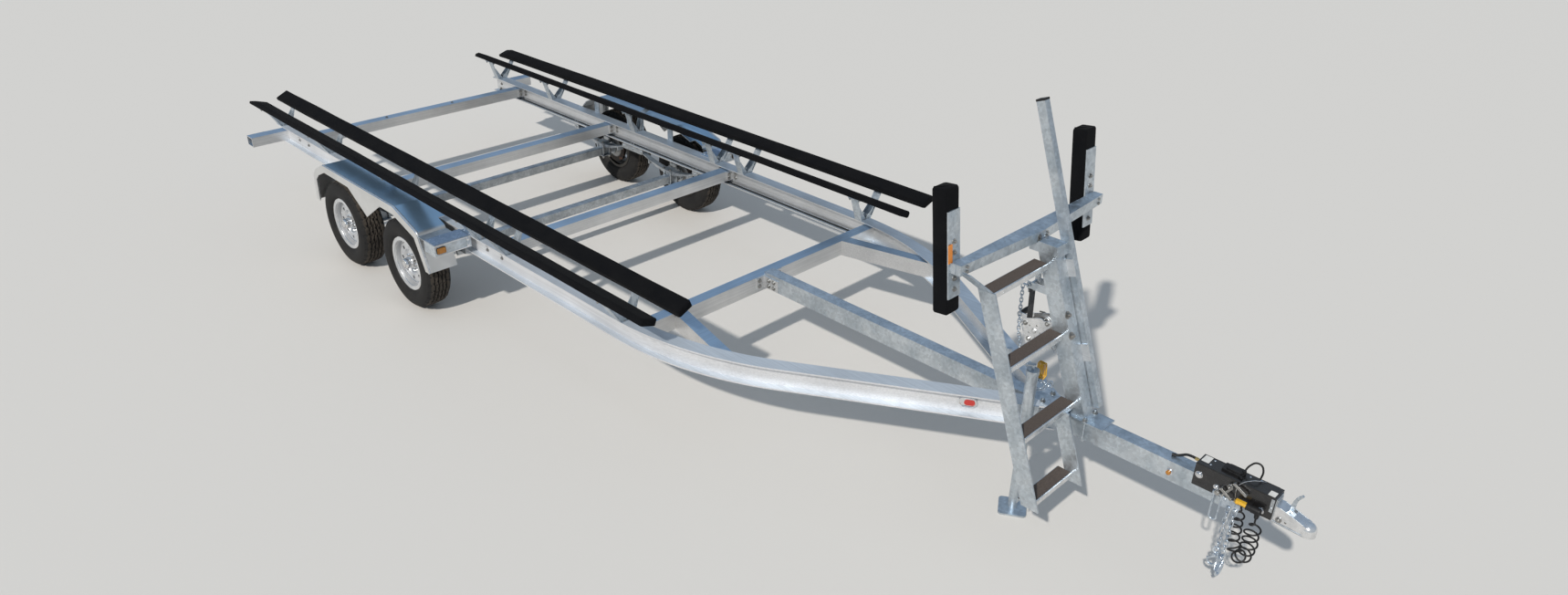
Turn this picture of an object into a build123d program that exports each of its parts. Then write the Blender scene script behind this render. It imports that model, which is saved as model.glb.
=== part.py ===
from build123d import *
import math
import os

os.makedirs("parts", exist_ok=True)

# Millimetres: +X forward to the coupler, +Y to the left, +Z up from the ground
overall_length = 7960
nose_to_axle = 5345
axle_spacing = 882
axle_x = overall_length / 2 - nose_to_axle
rear_axle_x = axle_x - axle_spacing
sides = {"right": -1, "left": 1}
fit_gap = 0.3

# Rails: I-beams, straight at the rear and bent in to the tongue
rail_height = 127
rail_width = 89
rail_flange = 8
rail_web = 6
rail_top = 603
rail_y = 994
rail_rear_offset = 2490
rail_bend_offset = 1966
rail_rear_x = axle_x - rail_rear_offset
rail_bend_x = axle_x + rail_bend_offset
rail_bend_radius = 1855
rail_bend_angle = 31.5
rail_bottom = rail_top - rail_height
rail_outer_y = rail_y + rail_width / 2

# Tongue: square-cornered tube on the centre line
tongue_width = 76
tongue_height = 102
tongue_wall = 5
tongue_half = tongue_width / 2
tongue_bottom = rail_top - tongue_height
tongue_front_offset = 4960
tongue_front_x = axle_x + tongue_front_offset

# Cross members between the rails
cross_width = 86
cross_height = 76
cross_wall = 6
cross_top = 588
cross_front_offsets = [-2047, -698, 733]
bend_beam_width = 75
bend_beam_height = 100
bend_beam_offset = 2124
bend_beam_front_x = axle_x + bend_beam_offset
brace_angle = 14
brace_start_y = 690
brace_reach = 800

# Stubs outside the rails at the tail
stub_length_x = 97
stub_offset = 2390
stub_front_x = axle_x - stub_offset
stub_height = 76
stub_outer_y = 1285

# Wheels
wheel_radius = 310
tyre_half_width = 92
tyre_clearance = 64.5
wheel_y = rail_outer_y + tyre_clearance + tyre_half_width
bead_radius = 165
bead_half_width = 66
rim_flange_radius = 182
rim_flange_thick = 4
rim_drop_radius = 146
rim_wall = 4
disc_offset = 18
disc_wall = 5
centre_bore_radius = 40
lug_circle_radius = 57.15
lug_radius = 8
vent_circle_radius = 112
vent_radius = 13
vent_count = 8
rotor_radius = 127
rotor_thick = 20
rotor_outboard = -62
hub_radius = 66
hub_nose_radius = 33
hub_nose_reach = 66
hub_collar = 12
cap_radius = 34
cap_reach = 90
spindle_radius = 20
spindle_fit = 0.05

# Axles and leaf springs
axle_size = 60
axle_wall = 6
backing_thick = 12
backing_gap = 10
backing_stand_off = 39
backing_y = wheel_y + rotor_outboard - rotor_thick - hub_collar - backing_gap - backing_thick
axle_half_length = backing_y - backing_stand_off
spring_y = rail_y
spring_width = 45
leaf_thick = 7
leaf_half_spans = [330, 235, 160, 90]
leaf_sag = 62
seat_thick = 10
eye_radius = 15
spring_pin_radius = 8
clamp_length = 110
clamp_width = 86
clamp_thick = 8
u_bolt_radius = 6
hanger_plate = 6
hanger_length = 56

# Fenders
fender_inner_y = rail_outer_y + 6
fender_cover = 100
fender_outer_y = wheel_y + fender_cover
fender_skin = 4
fender_support_width = 60
fender_corner = 30
fender_notch_depth = 50
fender_notch_x = 200

# Step boxes in front of the fenders, from their outer edges in to the rails
step_box_rear_offset = 355
step_box_length = 130
step_box_height = 76
step_box_top = 608
step_box_wall = 4
step_box_inset = 5

# Lamps: amber on the step boxes and the tongue, red on the rails' webs and the tail stubs
clearance_lamp_length = 56
clearance_lamp_height = 36
clearance_lamp_inset = 14
lamp_thick = 14
tongue_lamp_offset = 4716
tongue_lamp_radius = 11
web_lamp_offset = 3749
web_lamp_length = 80
web_lamp_height = 42
tail_lamp_length = 150
tail_lamp_height = 56
lamp_z = 548

# Loom on the left rail's lower flange, held by clips
loom_diameter = 10
loom_web_gap = 14
loom_rear_offset = 2435
loom_turn_radius = 16

# Bunks: carpeted boards in pairs over each rail, rows of
# y at the rear, z at the rear, y at the front, z at the front, tilt in degrees, rear end offset
board_width = 100
board_thick = 42
bunk_front_offset = 2421
bunk_front_x = axle_x + bunk_front_offset
bunks = {
    "outer": (1130, 786, 1145, 804, 18, -2576),
    "inner": (912, 787, 907, 792, -25, -2615),
}
bracket_offsets = [-2418, -1555, -398, 562, 867, 2008]
bracket_knee_offset = -398
bracket_knee_z = 736
bracket_width = 60
bracket_thick = 6
bracket_pad = 70

# Winch post, mast and ladder, all leaning back by the same angle
lean = 20.3
post_depth = 85
post_width = 76
post_wall = 5
post_front_offset = 4281
post_front_x = axle_x + post_front_offset
post_plate_thick = 8
post_plate_length = 330
post_plate_width = 120
post_head_z = 1405
mast_depth = 45
mast_width = 38
mast_wall = 3
mast_cap_height = 18
mast_near_y = 45
mast_front_offset = 4302
mast_front_x = axle_x + mast_front_offset
mast_foot_z = 640
mast_top_z = 2036
link_height = 85
link_levels = [900, 1290]
tread_levels = [1317, 999, 677, 350]
tread_front_offsets = [3971, 4100, 4216, 4298]
tread_depth = 77
tread_lip = 26
tread_thick = 4
ladder_y = 462
ladder_thick = 8
stile_width = 85
stile_foot_z = 332
short_stile_y = 112
stile_offset = 4167
stile_z = 677

# Bow bar and pads
bar_back_offset = 3820
bar_back_x = axle_x + bar_back_offset
bar_top = 1454
bar_height = 50
bar_wall = 4
bar_end_y = 590
bar_end_depth = 48
bar_middle_depth = 84
pad_depth = 77
pad_width = 96
pad_y = 560
pad_bottom = 1205
pad_top = 1775
pad_lean = 6.5

# Winch
winch_offset = 3948
winch_x = axle_x + winch_offset
winch_z = 955
winch_plate = 5
winch_inner_width = post_width - 2 * winch_plate
winch_plate_size = 128
drum_radius = 18
drum_flange_radius = 58
strap_coil_radius = 50
crank_length = 140
grip_radius = 12

# Hitch
case_offset = 4822
case_length = 350
case_rear_x = axle_x + case_offset
case_front_x = case_rear_x + case_length
case_top = 660
case_bottom = 547
case_wall = 5
slide_size = 66
slide_rear_x = tongue_front_x + 25
ball_radius = 25.4
socket_gap = 0.6
dome_wall = 10
ball_z = 556
coupler_skirt = 24
nose_x = overall_length / 2

# Safety chains and their hooks, from a plate on the case's right side
chain_x_offsets = [4990, 5018]
chain_link_counts = [8, 9]
link_length = 40
link_width = 24
link_wire = 6
chain_top = 525
chain_plate_length = 76
chain_plate_thick = 6
hook_eye_radius = 14
hook_eye_bore = 6
hook_thick = 12
hook_drop = 74
hook_radius = 22
hook_throat = 10
shackle_offset = 4945
shackle_width = 40
shackle_wire = 8
shackle_top = 560
shackle_bottom = 420

# Curly lead from a gland under the case round to its plug on the case's side
lead_tube_diameter = 50
gland_radius = 11
gland_length = 8
plug_radius = 16
plug_length = 56
plug_rear_x = 3655
plug_z = 578
boot_radius = 13

# Jack beside the rail's front end
jack_rail_offset = 60
jack_tube_radius = 28.5
jack_tube_wall = 3.5
jack_leg_radius = 24
jack_leg_wall = 4
jack_tube_bottom = 330
jack_tube_top = 800
jack_leg_top = 520
jack_foot_size = 140
jack_foot_thick = 10
jack_bracket_thick = 8


def web_y(x):
    """Distance of a rail's web from the centre line, inside the bend."""
    reach = x - rail_bend_x
    return rail_y - rail_bend_radius + math.sqrt(rail_bend_radius ** 2 - reach ** 2)


def beam_face(plane, width, height, wall):
    """Hollow rectangular section on a plane."""
    with BuildSketch(plane) as face:
        Rectangle(width, height)
        Rectangle(width - 2 * wall, height - 2 * wall, mode=Mode.SUBTRACT)
    return face.sketch


def inset(points, amount):
    """The same open outline, moved in by an amount along its segments' normals."""
    lines = []
    for (x0, z0), (x1, z1) in zip(points, points[1:]):
        length = math.hypot(x1 - x0, z1 - z0)
        nx, nz = -(z1 - z0) / length, (x1 - x0) / length
        lines.append((nx, nz, nx * x0 + nz * z0 + amount))
    moved = [(points[0][0] + amount * lines[0][0], points[0][1] + amount * lines[0][1])]
    for (a, b, c), (d, e, f) in zip(lines, lines[1:]):
        det = a * e - b * d
        moved.append(((c * e - b * f) / det, (a * f - c * d) / det))
    moved.append((points[-1][0] + amount * lines[-1][0], points[-1][1] + amount * lines[-1][1]))
    return moved


def finish(body, name):
    body.label = name
    export_step(body, "parts/" + name + ".step")


# Rails
bend = math.radians(rail_bend_angle)
bend_end_x = rail_bend_x + rail_bend_radius * math.sin(bend)
bend_end_y = rail_y - rail_bend_radius * (1 - math.cos(bend))
rail_run = (bend_end_y - tongue_half + rail_width) / math.sin(bend)
for name, side in sides.items():
    section_height = (rail_top + rail_bottom) / 2
    with BuildPart() as rail:
        with BuildSketch(Plane.YZ.offset(rail_rear_x)):
            with Locations((side * rail_y, section_height)):
                Rectangle(rail_web, rail_height)
            flange_level = rail_height / 2 - rail_flange / 2
            with Locations((side * rail_y, section_height + flange_level),
                           (side * rail_y, section_height - flange_level)):
                Rectangle(rail_width, rail_flange)
        extrude(amount=rail_bend_x - rail_rear_x)
        bend_axis = Axis((rail_bend_x, side * (rail_y - rail_bend_radius), 0), (0, 0, -side))
        revolve(rail.faces().sort_by(Axis.X)[-1], axis=bend_axis, revolution_arc=rail_bend_angle)
        front_face = rail.faces().filter_by(GeomType.PLANE).filter_by(
            lambda f: f.normal_at().X > 0.5).sort_by(Axis.X)[-1]
        extrude(front_face, amount=rail_run)
        split(bisect_by=Plane(origin=(0, side * tongue_half, 0), z_dir=(0, side, 0)), keep=Keep.TOP)
    finish(rail.part, "rail_" + name)

# Cross members
cross_length = 2 * rail_y - rail_web
with BuildPart() as crossmembers:
    for offset_x in cross_front_offsets:
        centre = (axle_x + offset_x - cross_width / 2, -cross_length / 2, cross_top - cross_height / 2)
        section = beam_face(Plane(origin=centre, x_dir=(1, 0, 0), z_dir=(0, 1, 0)),
                            cross_width, cross_height, cross_wall)
        extrude(section, amount=cross_length)
finish(crossmembers.part, "crossmembers")

bend_beam_z = rail_bottom + rail_flange + bend_beam_height / 2
bend_beam_half = web_y(bend_beam_front_x) - rail_web / 2 - fit_gap
with BuildPart() as front_crossmember:
    centre = (bend_beam_front_x - bend_beam_width / 2, -bend_beam_half, bend_beam_z)
    section = beam_face(Plane(origin=centre, x_dir=(1, 0, 0), z_dir=(0, 1, 0)),
                        bend_beam_width, bend_beam_height, cross_wall)
    extrude(section, amount=2 * bend_beam_half)
finish(front_crossmember.part, "front_crossmember")

# Braces from the front cross member to the bend of each rail
with BuildPart() as frame_braces:
    for side in sides.values():
        turn = side * math.radians(brace_angle)
        heading = (math.cos(turn), math.sin(turn), 0)
        start = (bend_beam_front_x - bend_beam_width * math.sin(abs(turn)), side * brace_start_y,
                 bend_beam_z)
        section = beam_face(Plane(origin=start, x_dir=(-heading[1], heading[0], 0), z_dir=heading),
                            bend_beam_width, bend_beam_height, cross_wall)
        extrude(section, amount=brace_reach)
    split(bisect_by=Plane(origin=(bend_beam_front_x, 0, 0), z_dir=(1, 0, 0)), keep=Keep.TOP)
    for side in sides.values():
        bend_centre = (rail_bend_x, side * (rail_y - rail_bend_radius), bend_beam_z)
        with BuildSketch(Plane(origin=bend_centre).offset(-bend_beam_height)):
            Circle(rail_bend_radius + brace_reach)
            Circle(rail_bend_radius - rail_web / 2 - fit_gap, mode=Mode.SUBTRACT)
            with Locations((0, -side * rail_bend_radius)):
                Rectangle(3 * rail_bend_radius, 2 * rail_bend_radius, mode=Mode.SUBTRACT)
        extrude(amount=2 * bend_beam_height, mode=Mode.SUBTRACT)
finish(frame_braces.part, "frame_braces")

# Tongue and the angle plates that bolt it to the front cross member
with BuildPart() as tongue:
    centre = (bend_beam_front_x, 0, rail_top - tongue_height / 2)
    section = beam_face(Plane(origin=centre, x_dir=(0, 1, 0), z_dir=(1, 0, 0)),
                        tongue_width, tongue_height, tongue_wall)
    extrude(section, amount=tongue_front_x - bend_beam_front_x)
finish(tongue.part, "tongue")

angle_leg = 120
angle_foot = 70
angle_thick = 6
angle_height = 74
with BuildPart() as tongue_angles:
    for side in sides.values():
        with BuildSketch(Plane.XY.offset(tongue_bottom + 5)):
            with Locations((bend_beam_front_x + angle_leg / 2, side * (tongue_half + angle_thick / 2))):
                Rectangle(angle_leg, angle_thick)
            with Locations((bend_beam_front_x + angle_thick / 2, side * (tongue_half + angle_foot / 2))):
                Rectangle(angle_thick, angle_foot)
        extrude(amount=angle_height)
finish(tongue_angles.part, "tongue_angles")

# Tail stubs
with BuildPart() as tail_stubs:
    for side in sides.values():
        inner_y = rail_y + rail_web / 2
        centre = (stub_front_x - stub_length_x / 2, side * inner_y,
                  rail_bottom + rail_flange + stub_height / 2)
        section = beam_face(Plane(origin=centre, x_dir=(1, 0, 0), z_dir=(0, side, 0)),
                            stub_length_x, stub_height, cross_wall)
        extrude(section, amount=stub_outer_y - inner_y)
finish(tail_stubs.part, "tail_stubs")

# Wheels: tyre, rim and hub with its brake disc; local x is outward from the wheel's middle
wheel_stations = {"front": axle_x, "rear": rear_axle_x}
tyre_bead_y = bead_half_width - fit_gap
tyre_bead_radius = bead_radius + fit_gap
for place, wheel_x in wheel_stations.items():
    for name, side in sides.items():
        hub_plane = Plane(origin=(wheel_x, side * wheel_y, wheel_radius), x_dir=(0, side, 0),
                          z_dir=(-side, 0, 0))
        spin_axis = Axis((wheel_x, side * wheel_y, wheel_radius), (0, 1, 0))
        with BuildPart() as tyre:
            with BuildSketch(hub_plane):
                with BuildLine():
                    shoulder = (66, wheel_radius - 5)
                    shoulder_back = (-66, wheel_radius - 5)
                    flange_lip = (tyre_bead_y, rim_flange_radius + 3)
                    flange_lip_back = (-tyre_bead_y, rim_flange_radius + 3)
                    ThreePointArc(shoulder_back, (0, wheel_radius), shoulder)
                    ThreePointArc(shoulder, (tyre_half_width, 242), flange_lip)
                    Polyline(flange_lip, (tyre_bead_y, tyre_bead_radius),
                             (-tyre_bead_y, tyre_bead_radius), flange_lip_back)
                    ThreePointArc(flange_lip_back, (-tyre_half_width, 242), shoulder_back)
                make_face()
            revolve(axis=spin_axis)
        finish(tyre.part, "tyre_" + place + "_" + name)

        with BuildPart() as rim:
            with BuildSketch(hub_plane):
                edge = bead_half_width + rim_flange_thick
                inner = bead_radius - rim_wall
                drop = rim_drop_radius - rim_wall
                with BuildLine():
                    Polyline((-edge, rim_flange_radius), (-bead_half_width, rim_flange_radius),
                             (-bead_half_width, bead_radius), (-44, bead_radius),
                             (-30, rim_drop_radius), (8, rim_drop_radius), (22, bead_radius),
                             (bead_half_width, bead_radius), (bead_half_width, rim_flange_radius),
                             (edge, rim_flange_radius), (edge, inner), (24, inner), (10, drop),
                             (disc_offset + 18, drop - 8), (disc_offset + 18, 92),
                             (disc_offset, 80), (disc_offset, centre_bore_radius),
                             (disc_offset - disc_wall, centre_bore_radius),
                             (disc_offset - disc_wall, 82), (disc_offset + 13, 94),
                             (disc_offset + 13, drop - 10), (2, drop), (-32, drop), (-46, inner),
                             (-edge, inner), close=True)
                make_face()
            revolve(axis=spin_axis)
            with BuildSketch(Plane(origin=(wheel_x, side * (wheel_y + disc_offset), wheel_radius),
                                   x_dir=(1, 0, 0), z_dir=(0, side, 0))):
                with PolarLocations(lug_circle_radius, 5):
                    Circle(lug_radius)
                with PolarLocations(vent_circle_radius, vent_count):
                    Circle(vent_radius)
            extrude(amount=30, both=True, mode=Mode.SUBTRACT)
        finish(rim.part, "rim_" + place + "_" + name)

        rotor_inboard = rotor_outboard - rotor_thick
        hub_face = disc_offset - disc_wall
        bore = spindle_radius + spindle_fit
        with BuildPart() as rotor:
            with BuildSketch(hub_plane):
                with BuildLine():
                    Polyline((rotor_inboard - hub_collar, bore), (rotor_inboard - hub_collar, 34),
                             (rotor_inboard, 34), (rotor_inboard, rotor_radius),
                             (rotor_outboard, rotor_radius), (rotor_outboard, hub_radius + 8),
                             (hub_face - 16, hub_radius), (hub_face - 16, hub_radius + 6),
                             (hub_face, hub_radius + 6), (hub_face, hub_nose_radius + 4),
                             (hub_nose_reach, hub_nose_radius), (hub_nose_reach, bore), close=True)
                make_face()
            revolve(axis=spin_axis)
            with BuildSketch(hub_plane):
                with BuildLine():
                    Polyline((hub_nose_reach, 0), (cap_reach, 0), (cap_reach, cap_radius - 9),
                             (cap_reach - 8, cap_radius), (hub_nose_reach, cap_radius), close=True)
                make_face()
            revolve(axis=spin_axis)
        finish(rotor.part, "rotor_" + place + "_" + name)

# Axles with spindles and the plates that carry the calipers
spindle_end = wheel_y + hub_nose_reach - 6
for place, wheel_x in wheel_stations.items():
    with BuildPart() as axle:
        start = (wheel_x, -axle_half_length, wheel_radius)
        section = beam_face(Plane(origin=start, x_dir=(1, 0, 0), z_dir=(0, 1, 0)),
                            axle_size, axle_size, axle_wall)
        extrude(section, amount=2 * axle_half_length)
        for side in sides.values():
            outward = Plane(origin=(wheel_x, side * axle_half_length, wheel_radius),
                            x_dir=(1, 0, 0), z_dir=(0, side, 0))
            with BuildSketch(outward.offset(-backing_stand_off)):
                Rectangle(axle_size - axle_wall, axle_size - axle_wall)
            extrude(amount=2 * backing_stand_off)
            with BuildSketch(outward.offset(backing_stand_off)):
                with Locations((-60, -side * 40)):
                    Rectangle(60, 80)
                Circle(52)
            extrude(amount=backing_thick)
            with BuildSketch(outward):
                Circle(spindle_radius)
            extrude(amount=spindle_end - axle_half_length)
    finish(axle.part, "axle_" + place)

# Calipers straddle the discs behind each axle
caliper_x = -88
caliper_z = 58
caliper_length = 60
caliper_height = 72
caliper_gap = 6
with BuildPart() as brake_calipers:
    for wheel_x in wheel_stations.values():
        for side in sides.values():
            inboard = backing_y + backing_thick
            outboard = wheel_y + rotor_outboard + caliper_gap + 10
            middle = (wheel_x + caliper_x, side * (inboard + outboard) / 2, wheel_radius + caliper_z)
            with Locations(middle):
                Box(caliper_length, outboard - inboard, caliper_height)
            slot_width = rotor_thick + 2 * caliper_gap
            disc_plane = Plane(origin=(wheel_x, side * (wheel_y + rotor_outboard - rotor_thick / 2),
                                       wheel_radius), x_dir=(1, 0, 0), z_dir=(0, side, 0))
            with BuildSketch(disc_plane.offset(-slot_width / 2)):
                Circle(rotor_radius + caliper_gap)
            extrude(amount=slot_width, mode=Mode.SUBTRACT)
            with BuildSketch(disc_plane.offset(-caliper_gap - rotor_thick / 2)):
                Circle(hub_radius + 18)
            extrude(amount=120, mode=Mode.SUBTRACT)
finish(brake_calipers.part, "brake_calipers")

# Leaf springs: stacked leaves as arcs about one centre over each axle
leaf_radius = (leaf_half_spans[0] ** 2 + leaf_sag ** 2) / (2 * leaf_sag)
seat_z = wheel_radius + axle_size / 2
stack_height = leaf_thick * len(leaf_half_spans)
leaf_top_z = seat_z + seat_thick + fit_gap + stack_height
arc_centre_z = leaf_top_z + leaf_radius
eye_z = leaf_top_z + leaf_sag + leaf_thick / 2
with BuildPart() as leaf_springs:
    for wheel_x in wheel_stations.values():
        for side in sides.values():
            with BuildSketch(Plane.XZ.offset(-side * spring_y)):
                for step, half_span in enumerate(leaf_half_spans):
                    upper = leaf_radius + step * leaf_thick
                    lower = upper + leaf_thick
                    swing = math.asin(half_span / leaf_radius)
                    ends = []
                    for radius in (upper, lower):
                        ends.append([(wheel_x + radius * math.sin(a), arc_centre_z - radius * math.cos(a))
                                     for a in (-swing, 0, swing)])
                    with BuildLine():
                        ThreePointArc(*ends[0])
                        Line(ends[0][2], ends[1][2])
                        ThreePointArc(*ends[1])
                        Line(ends[1][0], ends[0][0])
                    make_face()
                with Locations((wheel_x - leaf_half_spans[0], eye_z), (wheel_x + leaf_half_spans[0], eye_z)):
                    Circle(eye_radius)
                    Circle(spring_pin_radius + spindle_fit, mode=Mode.SUBTRACT)
            extrude(amount=spring_width / 2, both=True)
finish(leaf_springs.part, "leaf_springs")

# Clamps that hold each spring on its axle
clamp_top_z = leaf_top_z + 2
rod_x = axle_size / 2 + u_bolt_radius + 2
rod_y = spring_width / 2 + u_bolt_radius + 2
with BuildPart() as axle_clamps:
    for wheel_x in wheel_stations.values():
        for side in sides.values():
            y = side * spring_y
            with BuildSketch(Plane.XY.offset(seat_z)):
                with Locations((wheel_x, y)):
                    Rectangle(axle_size, spring_width)
            extrude(amount=seat_thick)
            with BuildSketch(Plane.XY.offset(clamp_top_z)):
                with Locations((wheel_x, y)):
                    Rectangle(clamp_length, clamp_width)
            extrude(amount=clamp_thick)
            with BuildSketch(Plane.XY.offset(wheel_radius - axle_size / 2 - clamp_thick)):
                with Locations((wheel_x, y)):
                    Rectangle(clamp_length, clamp_width)
            extrude(amount=clamp_thick)
            with BuildSketch(Plane.XY.offset(wheel_radius - axle_size / 2 - 2 * clamp_thick)):
                with Locations((wheel_x, y)):
                    with GridLocations(2 * rod_x, 2 * rod_y, 2, 2):
                        Circle(u_bolt_radius)
            extrude(amount=clamp_top_z + 2 * clamp_thick - wheel_radius + axle_size / 2 + 2 * clamp_thick)
finish(axle_clamps.part, "axle_clamps")

# Hangers under the rails and the equalizers between the springs
equalizer_x = (axle_x + rear_axle_x) / 2
hanger_half = spring_width / 2 + 1
hanger_drop = rail_bottom - eye_z + eye_radius + 4
with BuildPart() as spring_hangers:
    for side in sides.values():
        for hanger_x in (axle_x + leaf_half_spans[0], rear_axle_x - leaf_half_spans[0]):
            for edge in (-1, 1):
                plate_y = side * spring_y + edge * (hanger_half + hanger_plate / 2)
                with Locations((hanger_x, plate_y, rail_bottom - hanger_drop / 2)):
                    Box(hanger_length, hanger_plate, hanger_drop)
            pin_plane = Plane(origin=(hanger_x, side * spring_y, eye_z), x_dir=(1, 0, 0), z_dir=(0, 1, 0))
            with BuildSketch(pin_plane.offset(-hanger_half - hanger_plate - 8)):
                Circle(spring_pin_radius)
            extrude(amount=2 * (hanger_half + hanger_plate + 8))
        with Locations((equalizer_x, side * spring_y, rail_bottom - hanger_drop / 2)):
            Box(hanger_length, spring_width, hanger_drop)
        pivot_plane = Plane(origin=(equalizer_x, side * spring_y, eye_z), x_dir=(1, 0, 0), z_dir=(0, 1, 0))
        with BuildSketch(pivot_plane.offset(-spring_width)):
            Circle(spring_pin_radius + spindle_fit)
        extrude(amount=2 * spring_width, mode=Mode.SUBTRACT)
finish(spring_hangers.part, "spring_hangers")

equalizer_reach = (axle_spacing - 2 * leaf_half_spans[0]) / 2
with BuildPart() as equalizers:
    for side in sides.values():
        for edge in (-1, 1):
            plate_plane = Plane(origin=(equalizer_x, side * spring_y + edge * hanger_half, eye_z),
                                x_dir=(1, 0, 0), z_dir=(0, edge, 0))
            with BuildSketch(plate_plane):
                SlotCenterToCenter(2 * equalizer_reach, 2 * eye_radius + 12)
            extrude(amount=hanger_plate)
        pins = Plane(origin=(equalizer_x, side * spring_y, eye_z), x_dir=(1, 0, 0), z_dir=(0, 1, 0))
        with BuildSketch(pins.offset(-hanger_half - hanger_plate - 8)):
            with Locations((-equalizer_reach, 0), (0, 0), (equalizer_reach, 0)):
                Circle(spring_pin_radius)
        extrude(amount=2 * (hanger_half + hanger_plate + 8))
finish(equalizers.part, "equalizers")

# Fenders: a folded top band and an outer skirt with a V between the wheels
fender_outline = [(370, 377), (272, 628), (-11, 722), (-1041, 716), (-1165, 655), (-1225, 598),
                  (-1240, 401)]
skirt_lower = [(-1196, 401), (-1184, 570), (-1138, 612), (-1024, 664), (-660, 664), (-424, 518),
               (-200, 664), (-22, 664), (232, 584), (325, 377)]
for name, side in sides.items():
    with BuildPart() as fender:
        with BuildSketch(Plane.XZ.offset(-side * fender_inner_y)):
            with BuildLine():
                outer = [(axle_x + x, z) for x, z in fender_outline]
                under = inset(outer, fender_skin)
                FilletPolyline(outer, radius=fender_corner)
                Line(outer[-1], under[-1])
                FilletPolyline(under[::-1], radius=fender_corner - fender_skin)
                Line(under[0], outer[0])
            make_face()
        extrude(amount=-side * (fender_outer_y - fender_inner_y))
        with BuildSketch(Plane.XZ.offset(-side * fender_outer_y)):
            with BuildLine():
                FilletPolyline(outer, radius=fender_corner)
                lower = [(axle_x + x, z) for x, z in skirt_lower]
                Polyline([outer[-1]] + lower + [outer[0]])
            make_face()
        extrude(amount=side * fender_skin)
        notch_length = fender_outline[0][0] - fender_notch_x
        with Locations((axle_x + fender_notch_x + notch_length / 2,
                        side * (fender_inner_y + fender_notch_depth / 2), wheel_radius)):
            Box(notch_length + 10, fender_notch_depth, 2 * step_box_top, mode=Mode.SUBTRACT)
    finish(fender.part, "fender_" + name)

# Supports stand on the rails' outer edges under the fenders' inner edges, rows of place and top
fender_supports_table = [(-1000, 716), (-560, 718), (-40, 721)]
support_thick = fender_inner_y - rail_outer_y
with BuildPart() as fender_supports:
    for side in sides.values():
        for offset_x, top in fender_supports_table:
            with Locations((axle_x + offset_x, side * (rail_outer_y + support_thick / 2),
                            (top + rail_bottom) / 2)):
                Box(fender_support_width, support_thick, top - rail_bottom)

# Step boxes: a closed tube across each fender's front, with a plate back to its slope
step_box_front_x = axle_x + step_box_rear_offset + step_box_length
step_box_outer_y = fender_outer_y - step_box_inset
(slope_low_x, slope_low_z), (slope_high_x, slope_high_z) = fender_outline[:2]
slope_share = (step_box_top - step_box_wall - slope_low_z) / (slope_high_z - slope_low_z)
bridge_rear_x = axle_x + slope_low_x + (slope_high_x - slope_low_x) * slope_share + fit_gap
bridge_inner_y = fender_inner_y + fender_notch_depth
with fender_supports:
    for side in sides.values():
        centre = (step_box_front_x - step_box_length / 2, side * rail_outer_y,
                  step_box_top - step_box_height / 2)
        section_plane = Plane(origin=centre, x_dir=(1, 0, 0), z_dir=(0, side, 0))
        box_length_y = step_box_outer_y - rail_outer_y
        extrude(beam_face(section_plane, step_box_length, step_box_height, step_box_wall),
                amount=box_length_y - step_box_wall)
        with BuildSketch(section_plane.offset(box_length_y - step_box_wall)):
            Rectangle(step_box_length, step_box_height)
        extrude(amount=step_box_wall)
        bridge_length = axle_x + step_box_rear_offset - bridge_rear_x
        with Locations((bridge_rear_x + bridge_length / 2, side * (bridge_inner_y + step_box_outer_y) / 2,
                        step_box_top - step_box_wall / 2)):
            Box(bridge_length, step_box_outer_y - bridge_inner_y, step_box_wall)
finish(fender_supports.part, "fender_supports")

# Lamps
web_lamp_x = axle_x + web_lamp_offset
web_lamp_y = bend_end_y - (web_lamp_x - bend_end_x) * math.tan(bend)
with BuildPart() as marker_lamps_amber:
    for side in sides.values():
        lamp_y = step_box_outer_y - clearance_lamp_inset - clearance_lamp_length / 2
        with BuildSketch(Plane(origin=(step_box_front_x, side * lamp_y, step_box_top - step_box_height / 2),
                               x_dir=(0, 1, 0), z_dir=(1, 0, 0))):
            RectangleRounded(clearance_lamp_length, clearance_lamp_height, 6)
        extrude(amount=lamp_thick)
        with BuildSketch(Plane(origin=(axle_x + tongue_lamp_offset, side * tongue_half, lamp_z),
                               x_dir=(1, 0, 0), z_dir=(0, side, 0))):
            Circle(tongue_lamp_radius)
        extrude(amount=lamp_thick)
finish(marker_lamps_amber.part, "marker_lamps_amber")

with BuildPart() as marker_lamps_red:
    for side in sides.values():
        normal = (math.sin(bend), side * math.cos(bend), 0)
        web_plane = Plane(origin=(web_lamp_x, side * web_lamp_y, lamp_z),
                          x_dir=(math.cos(bend), -side * math.sin(bend), 0), z_dir=normal)
        with BuildSketch(web_plane.offset(rail_web / 2)):
            SlotOverall(web_lamp_length, web_lamp_height)
        extrude(amount=lamp_thick)
        tail_y = (rail_outer_y + stub_outer_y) / 2 + tail_lamp_height / 2
        tail_z = rail_bottom + rail_flange + stub_height / 2
        with BuildSketch(Plane(origin=(stub_front_x - stub_length_x, side * tail_y, tail_z),
                               x_dir=(0, 1, 0), z_dir=(-1, 0, 0))):
            SlotOverall(tail_lamp_length, tail_lamp_height)
        extrude(amount=lamp_thick)
finish(marker_lamps_red.part, "marker_lamps_red")

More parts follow.
